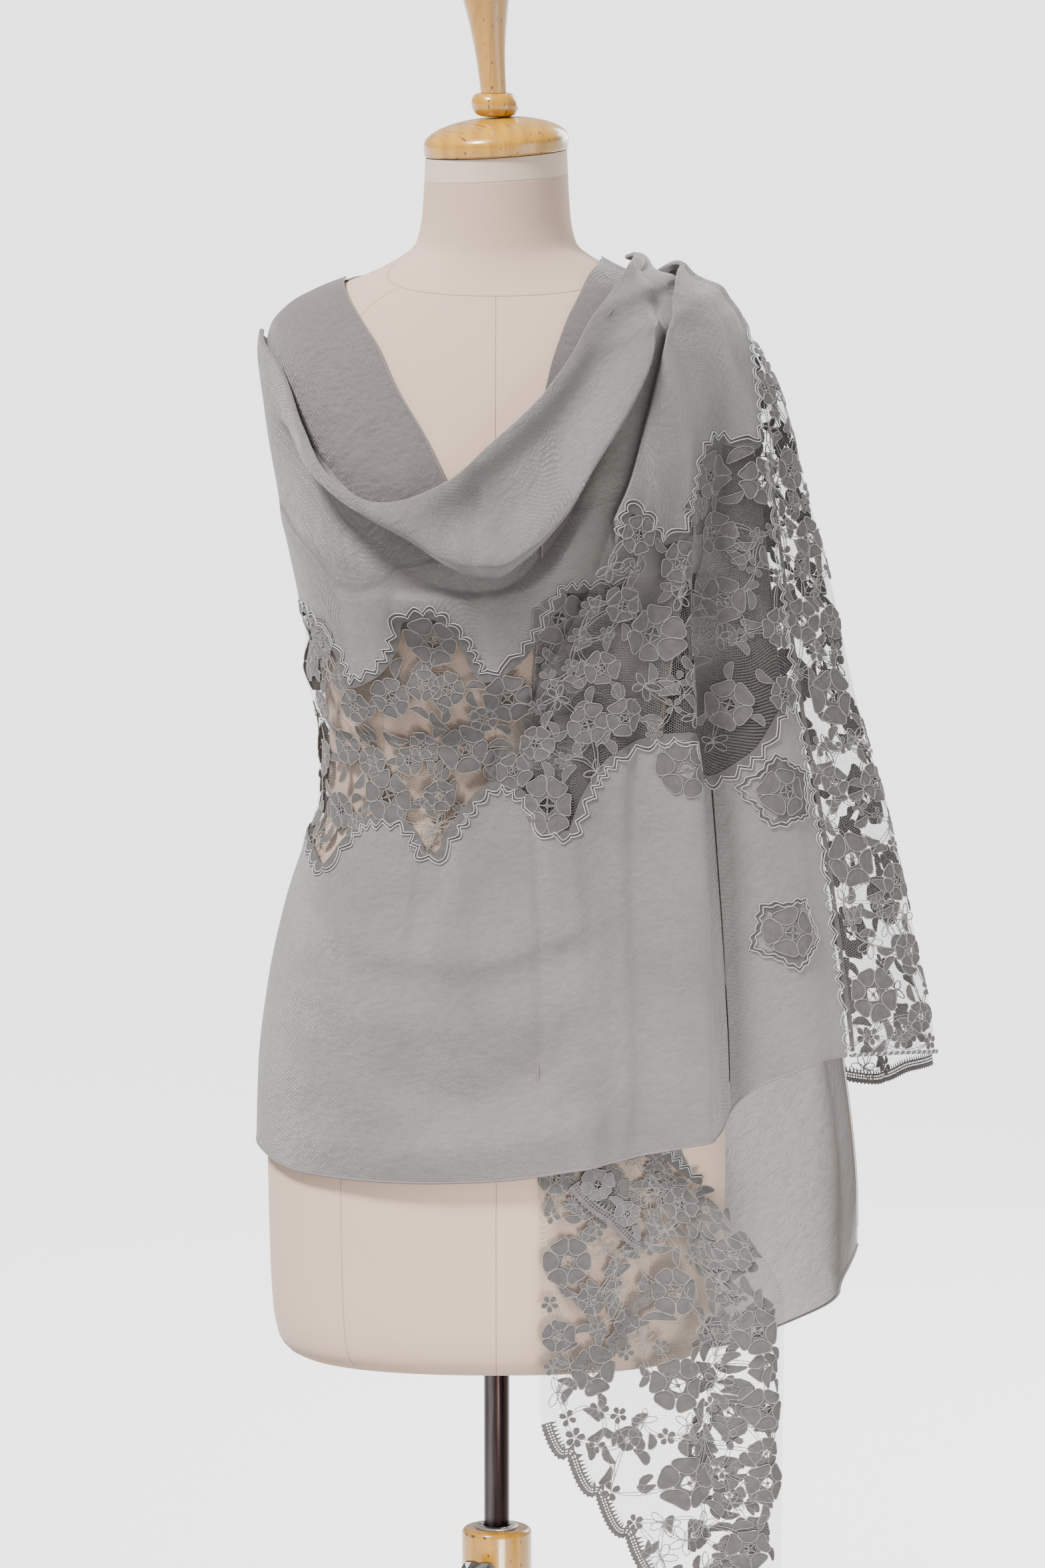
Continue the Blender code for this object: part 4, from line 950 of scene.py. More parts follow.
def turnedMesh(name, profile, look, bend=None, sides=72):
    profile = np.array(profile, float)
    angle = np.linspace(0, 2 * math.pi, sides, endpoint=False)
    radius, height = profile[:, 0][:, None], profile[:, 1][:, None]
    points = np.stack([radius * np.cos(angle), radius * np.sin(angle), height + 0 * angle], -1).reshape(-1, 3)
    if bend:
        points = bend(points)
    faces = []
    for k in range(len(profile) - 1):
        for i in range(sides):
            j = (i + 1) % sides
            faces.append((k * sides + i, k * sides + j, (k + 1) * sides + j, (k + 1) * sides + i))
    faces.append(tuple(range(sides))[::-1])
    faces.append(tuple((len(profile) - 1) * sides + i for i in range(sides)))
    made = addMesh(name, points, faces, materials[look])
    made.data.set_sharp_from_angle(angle=math.radians(50))
    return made


# an arc of a profile about a centre, from one angle to another
def arc(centre, radii, first, last, count=8):
    angles = np.radians(np.linspace(first, last, count))
    return [(centre[0] + radii[0] * math.cos(a), centre[1] + radii[1] * math.sin(a)) for a in angles]


capSlope, finialLean = 0.060, 0.085
turnings = {"capRadius": 0.0512, "capLip": 0.008, "collar": 0.0167, "finialFoot": 0.0094, "finialTop": 0.0165}


def makeTurnings():
    radius, lip = turnings["capRadius"], turnings["capLip"]
    foot, dome = torsoRows[-1][0] + seam, 0.0174
    profile = arc((radius - 0.002, foot + 0.002), (0.002, 0.002), -90, 0, 5)
    profile += arc((0, foot + lip), (radius, dome), 0, 84, 22)
    cap = turnedMesh("cap", profile, "wood", lambda p: p + np.outer(p[:, 0] * capSlope, (0, 0, 1)))
    capTop = foot + lip + dome * math.sin(math.radians(75))

    def lean(points):
        return points - np.outer((points[:, 2] - capTop) * finialLean, (1, 0, 0))

    low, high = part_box("finial_collar")
    half = (high.z - low.z) / 2
    profile = [(0.0106, low.z)] + arc((turnings["collar"] * 0.62, low.z + half),
                                      (turnings["collar"] * 0.38, half), -64, 64, 15) + [(0.0098, high.z)]
    collar = turnedMesh("collar", profile, "wood", lean)
    foot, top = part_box("finial")[0].z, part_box("finial")[1].z
    shape = ((0.000, 0.0094), (0.010, 0.0098), (0.026, 0.0108), (0.044, 0.0128), (0.058, 0.0150), (0.066, 0.0165))
    profile = [(float(along(shape, h)), foot + h) for h in np.linspace(0, 0.0655, 20)]
    profile += arc((turnings["finialTop"] - 0.0022, top - 0.0022), (0.0022, 0.0022), 0, 88, 6)
    finial = turnedMesh("finial_top", profile, "wood", lean)
    return (cap, "neck_cap"), (collar, "finial_collar"), (finial, "finial")


# Ring-shaped pieces, open through the middle, about the pole.
def ringMesh(name, profile, look, sides=64):
    profile = np.array(profile, float)
    angle = np.linspace(0, 2 * math.pi, sides, endpoint=False)
    radius, height = profile[:, 0][:, None], profile[:, 1][:, None]
    points = np.stack([radius * np.cos(angle), radius * np.sin(angle), height + 0 * angle], -1).reshape(-1, 3)
    faces = []
    for k in range(len(profile)):
        m = (k + 1) % len(profile)
        for i in range(sides):
            j = (i + 1) % sides
            faces.append((k * sides + i, k * sides + j, m * sides + j, m * sides + i))
    made = addMesh(name, points, faces, materials[look])
    made.data.set_sharp_from_angle(angle=math.radians(40))
    return made


stand = {"bore": 0.0099, "hub": 0.0252, "plate": 0.0155, "screws": 3, "screwRing": 0.0128, "screw": 0.0019}


def makeStand():
    low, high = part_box("hub")
    profile = [(stand["bore"], low.z), (stand["hub"] - 0.003, low.z)]
    profile += arc((stand["hub"] - 0.003, low.z + 0.003), (0.003, 0.003), -80, 0, 6)
    profile += arc((stand["hub"] - 0.004, high.z - 0.004), (0.004, 0.004), 0, 88, 7) + [(stand["bore"], high.z)]
    hub = ringMesh("hub_wood", profile, "wood")
    low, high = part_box("hub_plate")
    profile = [(stand["bore"], low.z), (stand["plate"], low.z), (stand["plate"], high.z - 0.0004),
               (stand["plate"] - 0.0005, high.z), (stand["bore"], high.z)]
    plate = ringMesh("hub_ring", profile, "greySteel")
    for k in range(stand["screws"]):
        angle = math.radians(-70 + 360 * k / stand["screws"])
        profile = [(stand["screw"], high.z)] + arc((0, high.z), (stand["screw"], 0.0009), 8, 84, 6)
        centre = np.array([stand["screwRing"] * math.cos(angle), stand["screwRing"] * math.sin(angle), 0])
        screw = turnedMesh("plate_screw_" + str(k), profile, "greySteel", lambda p: p + centre, 20)
        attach(screw, "stand")
    low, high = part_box("pole")
    profile = [(0.0085, low.z), (0.0093, low.z + 0.0008), (0.0093, high.z)]
    pole = turnedMesh("pole_tube", profile, "steel", sides=48)
    return (hub, "hub", "stand", "varnished_wood"), (plate, "hub_plate", "stand", "steel"), (pole, "pole", "post", "steel")


torsoCover = makeTorso()
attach(torsoCover, "form")
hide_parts("torso")
for piece, node in makeTurnings():
    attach(piece, "form")
    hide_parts(node)
for piece, node, body, slotName in makeStand():
    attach(piece, body)
    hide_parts(node)
cadLooks = {
    "pole_flange": ("steel", "steel"), "clamp_knob": ("plastic", "black_plastic"),
    "column": ("iron", "painted_iron"), "base": ("iron", "painted_iron"),
}
for node, (look, slotName) in cadLooks.items():
    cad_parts[node].data.materials.clear()
    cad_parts[node].data.materials.append(materials[look])
print("form and stand made")


# metres of cloth for a degree of turn and for a metre of rise
def scaleAt(surface, turn, rise):
    turns = np.stack([turn - 2.5, turn + 2.5, turn + 0.0, turn + 0.0])
    rises = np.stack([rise + 0.0, rise + 0.0, rise - 0.012, rise + 0.012])
    spots = position(turns, rises, surface(turns, rises))
    across = np.linalg.norm(spots[1] - spots[0], axis=-1) / 5.0
    return across, np.linalg.norm(spots[3] - spots[2], axis=-1) / 0.024


# Lace is drawn as places on a surface, turn, rise and how far it stands off, and laid on it at the end.
class Drawing:
    def __init__(self, surface, limits, foot=None, top=None):
        self.surface = surface
        self.limits = limits
        self.foot, self.top = foot, top
        self.fills, self.faces, self.cords = [], [], []
        self.count = 0
        self.taken = []

    def holds(self, turn, rise):
        low, high = self.limits
        if not low < turn < high:
            return False
        return self.foot is None or self.foot(turn) < rise < self.top(turn)

    # turns points in metres about a centre into turns and rises
    def placer(self, turn, rise, spin):
        perTurn, perRise = scaleAt(self.surface, turn, rise)
        c, s = math.cos(spin), math.sin(spin)

        def place(x, y):
            return turn + (x * c - y * s) / perTurn, rise + (x * s + y * c) / perRise
        return place

    def fill(self, turn, rise, lift, faces):
        low, high = self.limits
        turn = np.clip(turn, low, high)
        self.fills.append(np.stack(np.broadcast_arrays(turn, rise, lift), -1))
        self.faces += [tuple(self.count + k for k in face) for face in faces]
        self.count += len(self.fills[-1])

    def cord(self, turn, rise, lift, radius, closed=False):
        low, high = self.limits
        turn = np.clip(turn, low, high)
        self.cords.append((np.stack(np.broadcast_arrays(turn, rise, lift), -1), radius, closed))

    # a filled outline with a raised middle, and a cord round it
    def shape(self, place, x, y, middle, lift, cord=0.00034):
        n = len(x)
        turn, rise = place(np.append(x, middle[0]), np.append(y, middle[1]))
        lifts = np.append(np.full(n, lift), lift + 0.0004)
        self.fill(turn, rise, lifts, [(k, (k + 1) % n, n) for k in range(n)])
        if cord:
            self.cord(turn[:n], rise[:n], lift + 0.0001, cord, True)

    def lay(self, points):
        turn, rise, lift = points.T
        spots = position(turn, rise, self.surface(turn, rise))
        away = normals(turn, rise, self.surface)
        return spots + away * lift[:, None], away

    def build(self, name, fillLook, cordLook, slotName="lace"):
        made = []
        if self.fills:
            places = np.concatenate(self.fills)
            spots, _ = self.lay(places)
            flat = np.stack([places[:, 0] * 0.0026, places[:, 1]], -1)
            made.append(addMesh(name + "_motifs", spots, self.faces, materials[fillLook], flat))
        if self.cords:
            made.append(self.buildCords(name + "_cords", cordLook))
        for piece in made:
            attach(piece, "form")
        print(name, "motif faces", len(self.faces), "cords", len(self.cords))
        return made

    def buildCords(self, name, look, sides=4):
        places = np.concatenate([cord[0] for cord in self.cords])
        spots, away = self.lay(places)
        points, faces, start, first = [], [], 0, 0
        for run, radius, closed in self.cords:
            n = len(run)
            line, up = spots[start:start + n], away[start:start + n]
            start += n
            if closed:
                ahead = np.roll(line, -1, 0) - np.roll(line, 1, 0)
            else:
                ahead = np.gradient(line, axis=0)
            side = np.cross(ahead, up)
            side = side / np.maximum(np.linalg.norm(side, axis=1, keepdims=True), 1e-9)
            for k in range(sides):
                angle = 2 * math.pi * (k + 0.5) / sides
                points.append(line + side * radius * math.cos(angle) + up * radius * math.sin(angle))
            last = n if closed else n - 1
            for i in range(last):
                j = (i + 1) % n
                for k in range(sides):
                    m = (k + 1) % sides
                    faces.append((first + k * n + i, first + m * n + i, first + m * n + j, first + k * n + j))
            first += sides * n
        return addMesh(name, np.concatenate(points), faces, materials[look])


# Lace flowers, leaves and stems, in millimetres.
lace = {
    "petals": (5, 6), "notch": 0.05, "opening": 0.25, "lift": 0.5, "outline": 0.40,
    "leafLength": (12, 17), "leafWidth": 7.0, "smallFlower": 7.5, "gap": 1.0, "stemReach": 48,
    "bows": 0.4, "tries": 700, "openTries": 90,
}
dice = np.random.default_rng(7)


def drawFlower(drawing, turn, rise, radius, petals=None, lift=None, leaves=3):
    size = radius / 1000
    lift = lace["lift"] / 1000 if lift is None else lift
    petals = petals or int(dice.integers(lace["petals"][0], lace["petals"][1] + 1))
    place = drawing.placer(turn, rise, dice.uniform(0, 2 * math.pi))
    s = np.linspace(0, 2 * math.pi, 19)[:-1]
    out = (1 - np.cos(s)) / 2
    half = math.tan(math.pi / petals)
    cord = lace["outline"] / 1000
    for k in range(petals):
        angle = 2 * math.pi * (k + dice.uniform(-0.05, 0.05)) / petals
        reach = size * dice.uniform(0.86, 1.02)
        wave = 0.03 * np.sin(3 * s + dice.uniform(0, 6)) * out
        alongPetal = reach * (0.34 + 0.66 * out + wave
                              - lace["notch"] * np.exp(-(((s - math.pi) / 0.4) ** 2)))
        across = reach * half * np.sign(np.sin(s)) * np.abs(np.sin(s)) ** 0.74 * (0.42 + 0.46 * out)
        x = alongPetal * math.cos(angle) - across * math.sin(angle)
        y = alongPetal * math.sin(angle) + across * math.cos(angle)
        middle = (reach * 0.66 * math.cos(angle), reach * 0.66 * math.sin(angle))
        drawing.shape(place, x, y, middle, lift + 0.00012 * (k % 2), cord)
    drawHeart(drawing, place, size, lift)
    for k in range(leaves):
        angle = 2 * math.pi * (k + 0.5 + dice.uniform(-0.15, 0.15)) / max(leaves, 1)
        drawLeaf(drawing, place, size * 0.92, angle, lift)
    drawing.taken.append((turn, rise, size * 1.05))


# the middle of a flower: a woven ring, and a small lozenge held in it by four threads
def drawHeart(drawing, place, size, lift):
    around = np.linspace(0, 2 * math.pi, 21)[:-1]
    opening = lace["opening"] * size * (1 + 0.10 * np.cos(4 * around))
    rim = 0.46 * size
    turn, rise = place(np.append(opening * np.cos(around), rim * np.cos(around)),
                       np.append(opening * np.sin(around), rim * np.sin(around)))
    n = len(around)
    drawing.fill(turn, rise, lift, [(k, (k + 1) % n, n + (k + 1) % n, n + k) for k in range(n)])
    drawing.cord(turn[:n], rise[:n], lift + 0.0001, 0.0003, True)
    heart = np.linspace(0, 2 * math.pi, 5)[:-1]
    drawing.shape(place, 0.09 * size * np.cos(heart), 0.09 * size * np.sin(heart), (0, 0), lift, 0.0003)
    for angle in heart:
        spoke = np.array([0.09, 0.20, 0.30]) * size
        spokeTurn, spokeRise = place(spoke * math.cos(angle), spoke * math.sin(angle))
        drawing.cord(spokeTurn, spokeRise, lift, 0.00042)


def drawLeaf(drawing, place, start, angle, lift):
    length = dice.uniform(*lace["leafLength"]) / 1000
    tip = start + length
    if not drawing.holds(*(float(v) for v in place(tip * math.cos(angle), tip * math.sin(angle)))):
        return
    t = np.linspace(0, 2 * math.pi, 13)[:-1]
    alongLeaf = start + length * (1 - np.cos(t)) / 2
    bend = 0.16 * length * np.sin((1 - np.cos(t)) / 2 * math.pi)
    across = lace["leafWidth"] / 2000 * np.sin(t) * np.abs(np.sin(t / 2)) ** 0.4 + bend
    x = alongLeaf * math.cos(angle) - across * math.sin(angle)
    y = alongLeaf * math.sin(angle) + across * math.cos(angle)
    middle = ((start + length * 0.55) * math.cos(angle) - 0.16 * length * math.sin(angle),
              (start + length * 0.55) * math.sin(angle) + 0.16 * length * math.cos(angle))
    drawing.shape(place, x, y, middle, lift - 0.0002)


# a small star flower with four or five petals
def drawSmallFlower(drawing, turn, rise, radius):
    size = radius / 1000
    place = drawing.placer(turn, rise, dice.uniform(0, 2 * math.pi))
    petals = int(dice.integers(4, 6))
    s = np.linspace(0, 2 * math.pi, 9)[:-1]
    out = (1 - np.cos(s)) / 2
    for k in range(petals):
        angle = 2 * math.pi * k / petals
        alongPetal = size * (0.18 + 0.82 * out)
        across = size * 0.40 * np.sin(s) * (0.5 + 0.5 * out)
        x = alongPetal * math.cos(angle) - across * math.sin(angle)
        y = alongPetal * math.sin(angle) + across * math.cos(angle)
        middle = (size * 0.6 * math.cos(angle), size * 0.6 * math.sin(angle))
        drawing.shape(place, x, y, middle, 0.0004, 0.00026)
    drawing.taken.append((turn, rise, size))


# a bow of fine cord: narrow loops to both sides, and two ends that hang
def drawBow(drawing, turn, rise, radius):
    size = radius / 1000
    place = drawing.placer(turn, rise, dice.uniform(0, 2 * math.pi))
    t = np.linspace(0, 2 * math.pi, 11)[:-1]
    for angle in (0.35, math.pi - 0.35, -0.75, math.pi + 0.75):
        reach = 1.5 * size * (1 - np.cos(t)) / 2
        across = 0.36 * size * np.sin(t)
        x = reach * math.cos(angle) - across * math.sin(angle)
        y = reach * math.sin(angle) + across * math.cos(angle)
        loopTurn, loopRise = place(x, y)
        drawing.cord(loopTurn, loopRise, 0.0004, 0.00042, True)
    drawing.taken.append((turn, rise, size))


# two thin lines side by side that curve from one place to another, with a leaf on the way
def drawStem(drawing, start, end, bow):
    place = drawing.placer(start[0], start[1], 0.0)
    perTurn, perRise = scaleAt(drawing.surface, start[0], start[1])
    reach = np.array([(end[0] - start[0]) * perTurn, (end[1] - start[1]) * perRise])
    length = max(float(np.hypot(*reach)), 1e-6)
    side = np.array([-reach[1], reach[0]]) / length
    t = np.linspace(0, 1, 9)
    line = t[:, None] * reach + np.sin(math.pi * t)[:, None] * side * bow * length
    for shift in (-0.0006, 0.0006):
        swing = shift * np.sin(math.pi * t) * 2.2
        x, y = line[:, 0] + side[0] * swing, line[:, 1] + side[1] * swing
        stemTurn, stemRise = place(x, y)
        drawing.cord(stemTurn, stemRise, 0.00025, 0.00034)
    if length > 0.016:
        at = line[4]
        leafTurn, leafRise = place(at[0], at[1])
        angle = math.atan2(reach[1], reach[0]) + dice.choice([-1, 1]) * 0.9
        drawLeaf(drawing, drawing.placer(float(leafTurn), float(leafRise), 0.0), 0.001, angle, 0.0005)


# fills what is left of a band with flowers of given sizes, each tied by a stem to its nearest neighbour
def scatter(drawing, region, radii, tries, leaves=2):
    left, right, foot, top = region
    turns = dice.uniform(left, right, tries)
    reaches = dice.choice(radii, tries) / 1000
    shares = dice.uniform(0, 1, tries)
    perTurns, perRises = scaleAt(drawing.surface, turns, (foot(turns) + top(turns)) / 2)
    lows, highs = foot(turns) + reaches / perRises, top(turns) - reaches / perRises
    rises = lows + (highs - lows) * shares
    for k in range(tries):
        turn, rise, reach = float(turns[k]), float(rises[k]), float(reaches[k])
        taken = np.array(drawing.taken or [(999.0, 0.0, 0.0)])
        away = np.hypot((turn - taken[:, 0]) * perTurns[k], (rise - taken[:, 1]) * perRises[k])
        if highs[k] <= lows[k] or (away - taken[:, 2]).min() < reach + lace["gap"] / 1000:
            continue
        for near in np.argsort(away)[:2]:
            if away[near] < lace["stemReach"] / 1000:
                drawStem(drawing, (turn, rise), tuple(taken[near]), dice.uniform(-0.25, 0.25))
        if reach > 0.010:
            drawFlower(drawing, turn, rise, reach * 1000, leaves=leaves)
        elif dice.uniform() < lace["bows"]:
            drawBow(drawing, turn, rise, reach * 1000)
        else:
            drawSmallFlower(drawing, turn, rise, reach * 1000)


# the lobed border of the lace where it is sewn to the wool, under two silver cords
border = {
    "pitch": 12.5, "depth": 5.5, "inside": 4.5, "apart": 2.6, "step": 1.0, "cord": 0.46,
}


# even steps along a path of turns and rises, with a function that moves them sideways in metres
def stepped(surface, path, step, side):
    turn, rise = (np.array(values, float) for values in zip(*path))
    perTurn, perRise = scaleAt(surface, turn, rise)
    across = np.diff(turn) * (perTurn[1:] + perTurn[:-1]) / 2
    up = np.diff(rise) * (perRise[1:] + perRise[:-1]) / 2
    distance = np.concatenate([[0], np.cumsum(np.hypot(across, up))])
    count = max(8, int(distance[-1] * 1000 / step))
    s = np.linspace(0, distance[-1], count)
    turn, rise = np.interp(s, distance, turn), np.interp(s, distance, rise)
    perTurn, perRise = scaleAt(surface, turn, rise)
    ahead = [np.gradient(turn) * perTurn, np.gradient(rise) * perRise]
    ahead = np.stack([np.convolve(np.pad(part, 3, mode="edge"), np.ones(7) / 7, "valid") for part in ahead], -1)
    ahead = ahead / np.linalg.norm(ahead, axis=1, keepdims=True)

    def at(offset):
        return turn - ahead[:, 1] * side * offset / perTurn, rise + ahead[:, 0] * side * offset / perRise
    return s * 1000, at


# a strip of close weave between two lines, or only every so many steps of it
def drawStrip(drawing, at, low, high, lift, every=1):
    first, second = at(low), at(high)
    count = len(first[0])
    turn, rise = np.concatenate([first[0], second[0]]), np.concatenate([first[1], second[1]])
    drawing.fill(turn, rise, lift, [(k, k + 1, count + k + 1, count + k) for k in range(0, count - 1, every)])


def drawBorder(drawing, cords, path, side):
    s, at = stepped(drawing.surface, path, border["step"], side)
    phase = s / border["pitch"] + 0.42 * np.sin(s / 19.0) + 0.22 * np.sin(s / 8.3)
    round_ = np.abs(np.sin(math.pi * phase)) ** 0.6
    pointed = 1 - np.abs(2 * (phase - np.floor(phase)) - 1)
    share = 0.5 + 0.5 * np.sin(s / 31.0)
    lobe = (round_ * share + pointed * (1 - share)) * border["depth"] / 1000
    drawStrip(drawing, at, -border["inside"] / 1000, lobe, 0.0003)
    for offset in (lobe, lobe - border["apart"] / 1000):
        cordTurn, cordRise = at(offset)
        cords.cord(cordTurn, cordRise, 0.0007, border["cord"] / 1000)


# the hem of the lace: a close-woven scalloped edge with two rows of eyelets, comb teeth inside it
edging = {"step": 1.1, "bands": ((-0.3, 2.8), (3.7, 4.7), (5.6, 7.0)), "bar": 2, "teeth": 4.2, "picot": 1.2}


def drawEdging(drawing, path, side, scallop=None, lift=0.0005):
    s, at = stepped(drawing.surface, path, edging["step"], side)
    base = 0.0
    if scallop:
        pitch, depth = scallop
        base = depth / 1000 * (1 - np.abs(np.sin(math.pi * s / pitch)))
    for low, high in edging["bands"]:
        drawStrip(drawing, at, base + low / 1000, base + high / 1000, lift)
    (_, first), (second, third), (fourth, last) = edging["bands"]
    drawStrip(drawing, at, base + first / 1000, base + second / 1000, lift, edging["bar"])
    drawStrip(drawing, at, base + third / 1000, base + fourth / 1000, lift, edging["bar"])
    for edge, reach in ((last, edging["teeth"]), (edging["bands"][0][0], -edging["picot"])):
        foot, tip = at(base + edge / 1000), at(base + (edge + reach) / 1000)
        count = len(s)
        faces = [(k, k + 2, count + k + 1) for k in range(0, count - 2, 3)]
        drawing.fill(np.concatenate([foot[0], tip[0]]), np.concatenate([foot[1], tip[1]]), lift, faces)


# a flower on a patch of lace, sewn on the wool under two silver cords that follow its petals
def drawApplique(drawing, cords, turn, rise, radius, petals=5):
    place = drawing.placer(turn, rise, dice.uniform(0, 2 * math.pi))
    angle = np.linspace(0, 2 * math.pi, 91)[:-1]
    jag = 0.32 * np.abs((petals * angle / math.pi) % 2 - 1) + 0.05 * np.cos(4 * petals * angle)
    for k, grow in enumerate((1.12, 0.97)):
        reach = radius / 1000 * (grow + jag)
        patchTurn, patchRise = place(reach * np.cos(angle), reach * np.sin(angle))
        cords.cord(patchTurn, patchRise, 0.0009, border["cord"] / 1000, True)
        if k == 0:
            drawing.shape(place, reach * np.cos(angle), reach * np.sin(angle), (0, 0), 0.0003, None)
    drawFlower(drawing, turn, rise, radius, petals, lift=0.0009, leaves=0)


def pathOf(rows, first, last, count=160):
    turn = np.linspace(first, last, count)
    return list(zip(turn, along(rows, turn)))


# many places along the straight lines between a few
def between(spots, count=120):
    spots = np.array(spots, float)
    steps = np.linspace(0, len(spots) - 1, count)
    return list(zip(*(np.interp(steps, np.arange(len(spots)), spots[:, k]) for k in range(2))))


# The big flowers of each band: turn, rise, radius in millimetres.
bandFlowers = {
    "waist_band": (
        (-64.5, 1.079, 15), (-22.5, 1.080, 21), (-38.7, 1.038, 16), (-53.2, 1.030, 14),
        (-63.5, 0.999, 15), (-13.9, 1.002, 18), (-45.2, 0.966, 20), (-25.0, 0.968, 12),
        (-66.5, 0.952, 14), (-31.0, 1.004, 11), (4.4, 1.040, 20), (21.0, 1.098, 20), (-80, 1.055, 15),
        (-80, 0.985, 15), (-84, 0.948, 11), (2.0, 0.992, 12), (25.0, 1.040, 16), (-18.0, 1.046, 13),
        (-52.0, 0.990, 12), (-27.0, 1.048, 12), (-37.0, 0.992, 11), (-5.0, 1.024, 11), (-58.0, 0.944, 10),
        (-73.0, 1.072, 12), (-71.5, 1.026, 11),
    ),
    "outer_band": (
        (18.8, 0.964, 22), (54.0, 0.988, 22), (48.2, 1.084, 22), (30.6, 1.022, 16),
        (34.0, 1.062, 13), (40.5, 1.026, 14), (68.6, 1.104, 18), (68.4, 1.030, 18),
        (15.0, 1.008, 14), (77.0, 1.082, 17), (38.6, 1.106, 14), (66.0, 1.192, 18),
        (41.5, 1.156, 14), (54.0, 1.134, 16), (68.0, 1.152, 16), (76.5, 1.186, 17),
        (60.0, 1.050, 15), (7.0, 0.988, 13), (59.0, 1.170, 12), (76.0, 1.035, 14),
    ),
    "side_band": (
        (85.5, 1.190, 15), (86.5, 1.142, 15), (82.0, 1.085, 16), (87.5, 1.082, 13),
        (84.8, 1.030, 21), (88.4, 0.966, 15), (82.4, 0.970, 12), (82.6, 0.914, 21),
        (88.2, 0.895, 15), (82.6, 0.817, 21), (87.9, 0.845, 14), (87.7, 0.797, 12), (84.0, 1.236, 13),
    ),
    "first_end_lace": (
        (24.0, 0.639, 19), (31.5, 0.560, 18), (50.5, 0.616, 19), (50.8, 0.548, 21),
        (41.7, 0.508, 9), (52.4, 0.477, 21), (41.5, 0.594, 10), (60.5, 0.640, 14),
        (61.3, 0.586, 17), (62.3, 0.530, 16), (62.5, 0.476, 15), (60.7, 0.428, 16), (37.0, 0.690, 18),
        (20.5, 0.700, 15), (20.5, 0.586, 13), (55.0, 0.676, 14), (31.0, 0.610, 11),
    ),
}
# flowers sewn on the wool beside the bands
appliqueFlowers = ((73.6, 0.967, 19), (72.4, 0.867, 19))


def makeLace():
    drawings = {
        "waist_band": Drawing(waistRadius, (-89.6, 41.6), curve(waistBandFoot), curve(waistBandTop)),
        "outer_band": Drawing(outerRadius, (-2.8, 79.0), curve(wrapTop), panelTop),
        "side_band": Drawing(outerRadius, (79.3, 90.9), curve(hemEdge), curve(panelBandTop)),
        "second_end_lace": Drawing(behindRadius, (91.4, 135.6), fanEdge, curve(panelBandTop)),
        "back_band": Drawing(wrapRadius, (92.2, 269.8), curve(backBandFoot), curve(backBandTop)),
        "first_end_lace": Drawing(firstRadius, (15.2, 66.5), endLaceEdge, curve(endLaceTop)),
        "first_end_ruffle": Drawing(ruffleRadius, (24.2, 44.8), ruffleEdge, curve(hemEdge)),
    }
    for name, flowers in bandFlowers.items():
        for turn, rise, radius in flowers:
            drawFlower(drawings[name], turn, rise, radius)
    drawFlower(drawings["first_end_ruffle"], 33.0, 0.694, 13, lift=0.0008)
    drawFlower(drawings["first_end_ruffle"], 41.5, 0.672, 10, lift=0.0008)
    flat = lace["smallFlower"]
    regions = {
        "waist_band": (-88, 40, curve(waistBandFoot), curve(waistBandTop)),
        "outer_band": (4, 79, curve(wrapTop), panelTop),
        "side_band": (79.6, 90.5, curve(hemEdge), curve(panelBandTop)),
        "second_end_lace": (93, 134, fanEdge, curve(panelBandTop)),
        "back_band": (95, 267, curve(backBandFoot), curve(backBandTop)),
        "first_end_lace": (17, 60, lambda turn: endLaceEdge(turn) + 0.014, curve(endLaceTop)),
    }
    for name, region in regions.items():
        if name in ("second_end_lace", "back_band"):
            scatter(drawings[name], region, (19, 22, 16), 260)
        tries = lace["openTries"] if name == "waist_band" else lace["tries"]
        scatter(drawings[name], region, (flat, flat * 0.85), tries)
    # the outer third of the first end is gathered and lies double
    gathered = Drawing(lambda turn, rise: firstRadius(turn, rise) - 0.004, (53.0, 66.0), endLaceEdge, curve(endLaceTop))
    scatter(gathered, (54, 65, lambda turn: endLaceEdge(turn) + 0.010, curve(endLaceTop)), (15, 12), 160, 3)
    drawings["first_end_gather"] = gathered
    return drawings


drawings = makeLace()
silver = {
    "waist": Drawing(wrapRadius, (-89.6, 60.0)),
    "outer": Drawing(outerRadius, (-89.6, 90.9)),
    "behind": Drawing(behindRadius, (88.0, 139.5)),
    "back": Drawing(wrapRadius, (92.2, 269.8)),
    "first": Drawing(firstRadius, (15.2, 70.0)),
}
topBorder = Drawing(wrapRadius, (-89.6, 60.0))
drawBorder(topBorder, silver["waist"], pathOf(waistBandTop, -89.6, 41.6, 300), 1)
footBorder = Drawing(outerRadius, (-89.6, 90.9))
drawBorder(footBorder, silver["outer"], pathOf(wrapTop, -89.6, 78.6, 400), -1)
for turn, rise, radius in appliqueFlowers:
    drawApplique(footBorder, silver["outer"], turn, rise, radius)
drawBorder(drawings["outer_band"], silver["outer"], pathOf(panelBandTop, 36.0, 90.5, 220), 1)
sidePath = [(79.2, rise) for rise in np.linspace(1.20, 0.778, 120)]
drawBorder(drawings["side_band"], silver["outer"], sidePath, -1)
drawBorder(drawings["second_end_lace"], silver["behind"], pathOf(panelBandTop, 91.4, 139, 160), 1)
drawBorder(drawings["back_band"], silver["back"], pathOf(backBandTop, 92.4, 269.6, 300), 1)
drawBorder(drawings["back_band"], silver["back"], pathOf(backBandFoot, 92.4, 269.6, 300), -1)
drawBorder(drawings["first_end_lace"], silver["first"], pathOf(endLaceTop, 15.4, 62, 200), 1)
drawings["top_border"] = topBorder
drawings["foot_border"] = footBorder

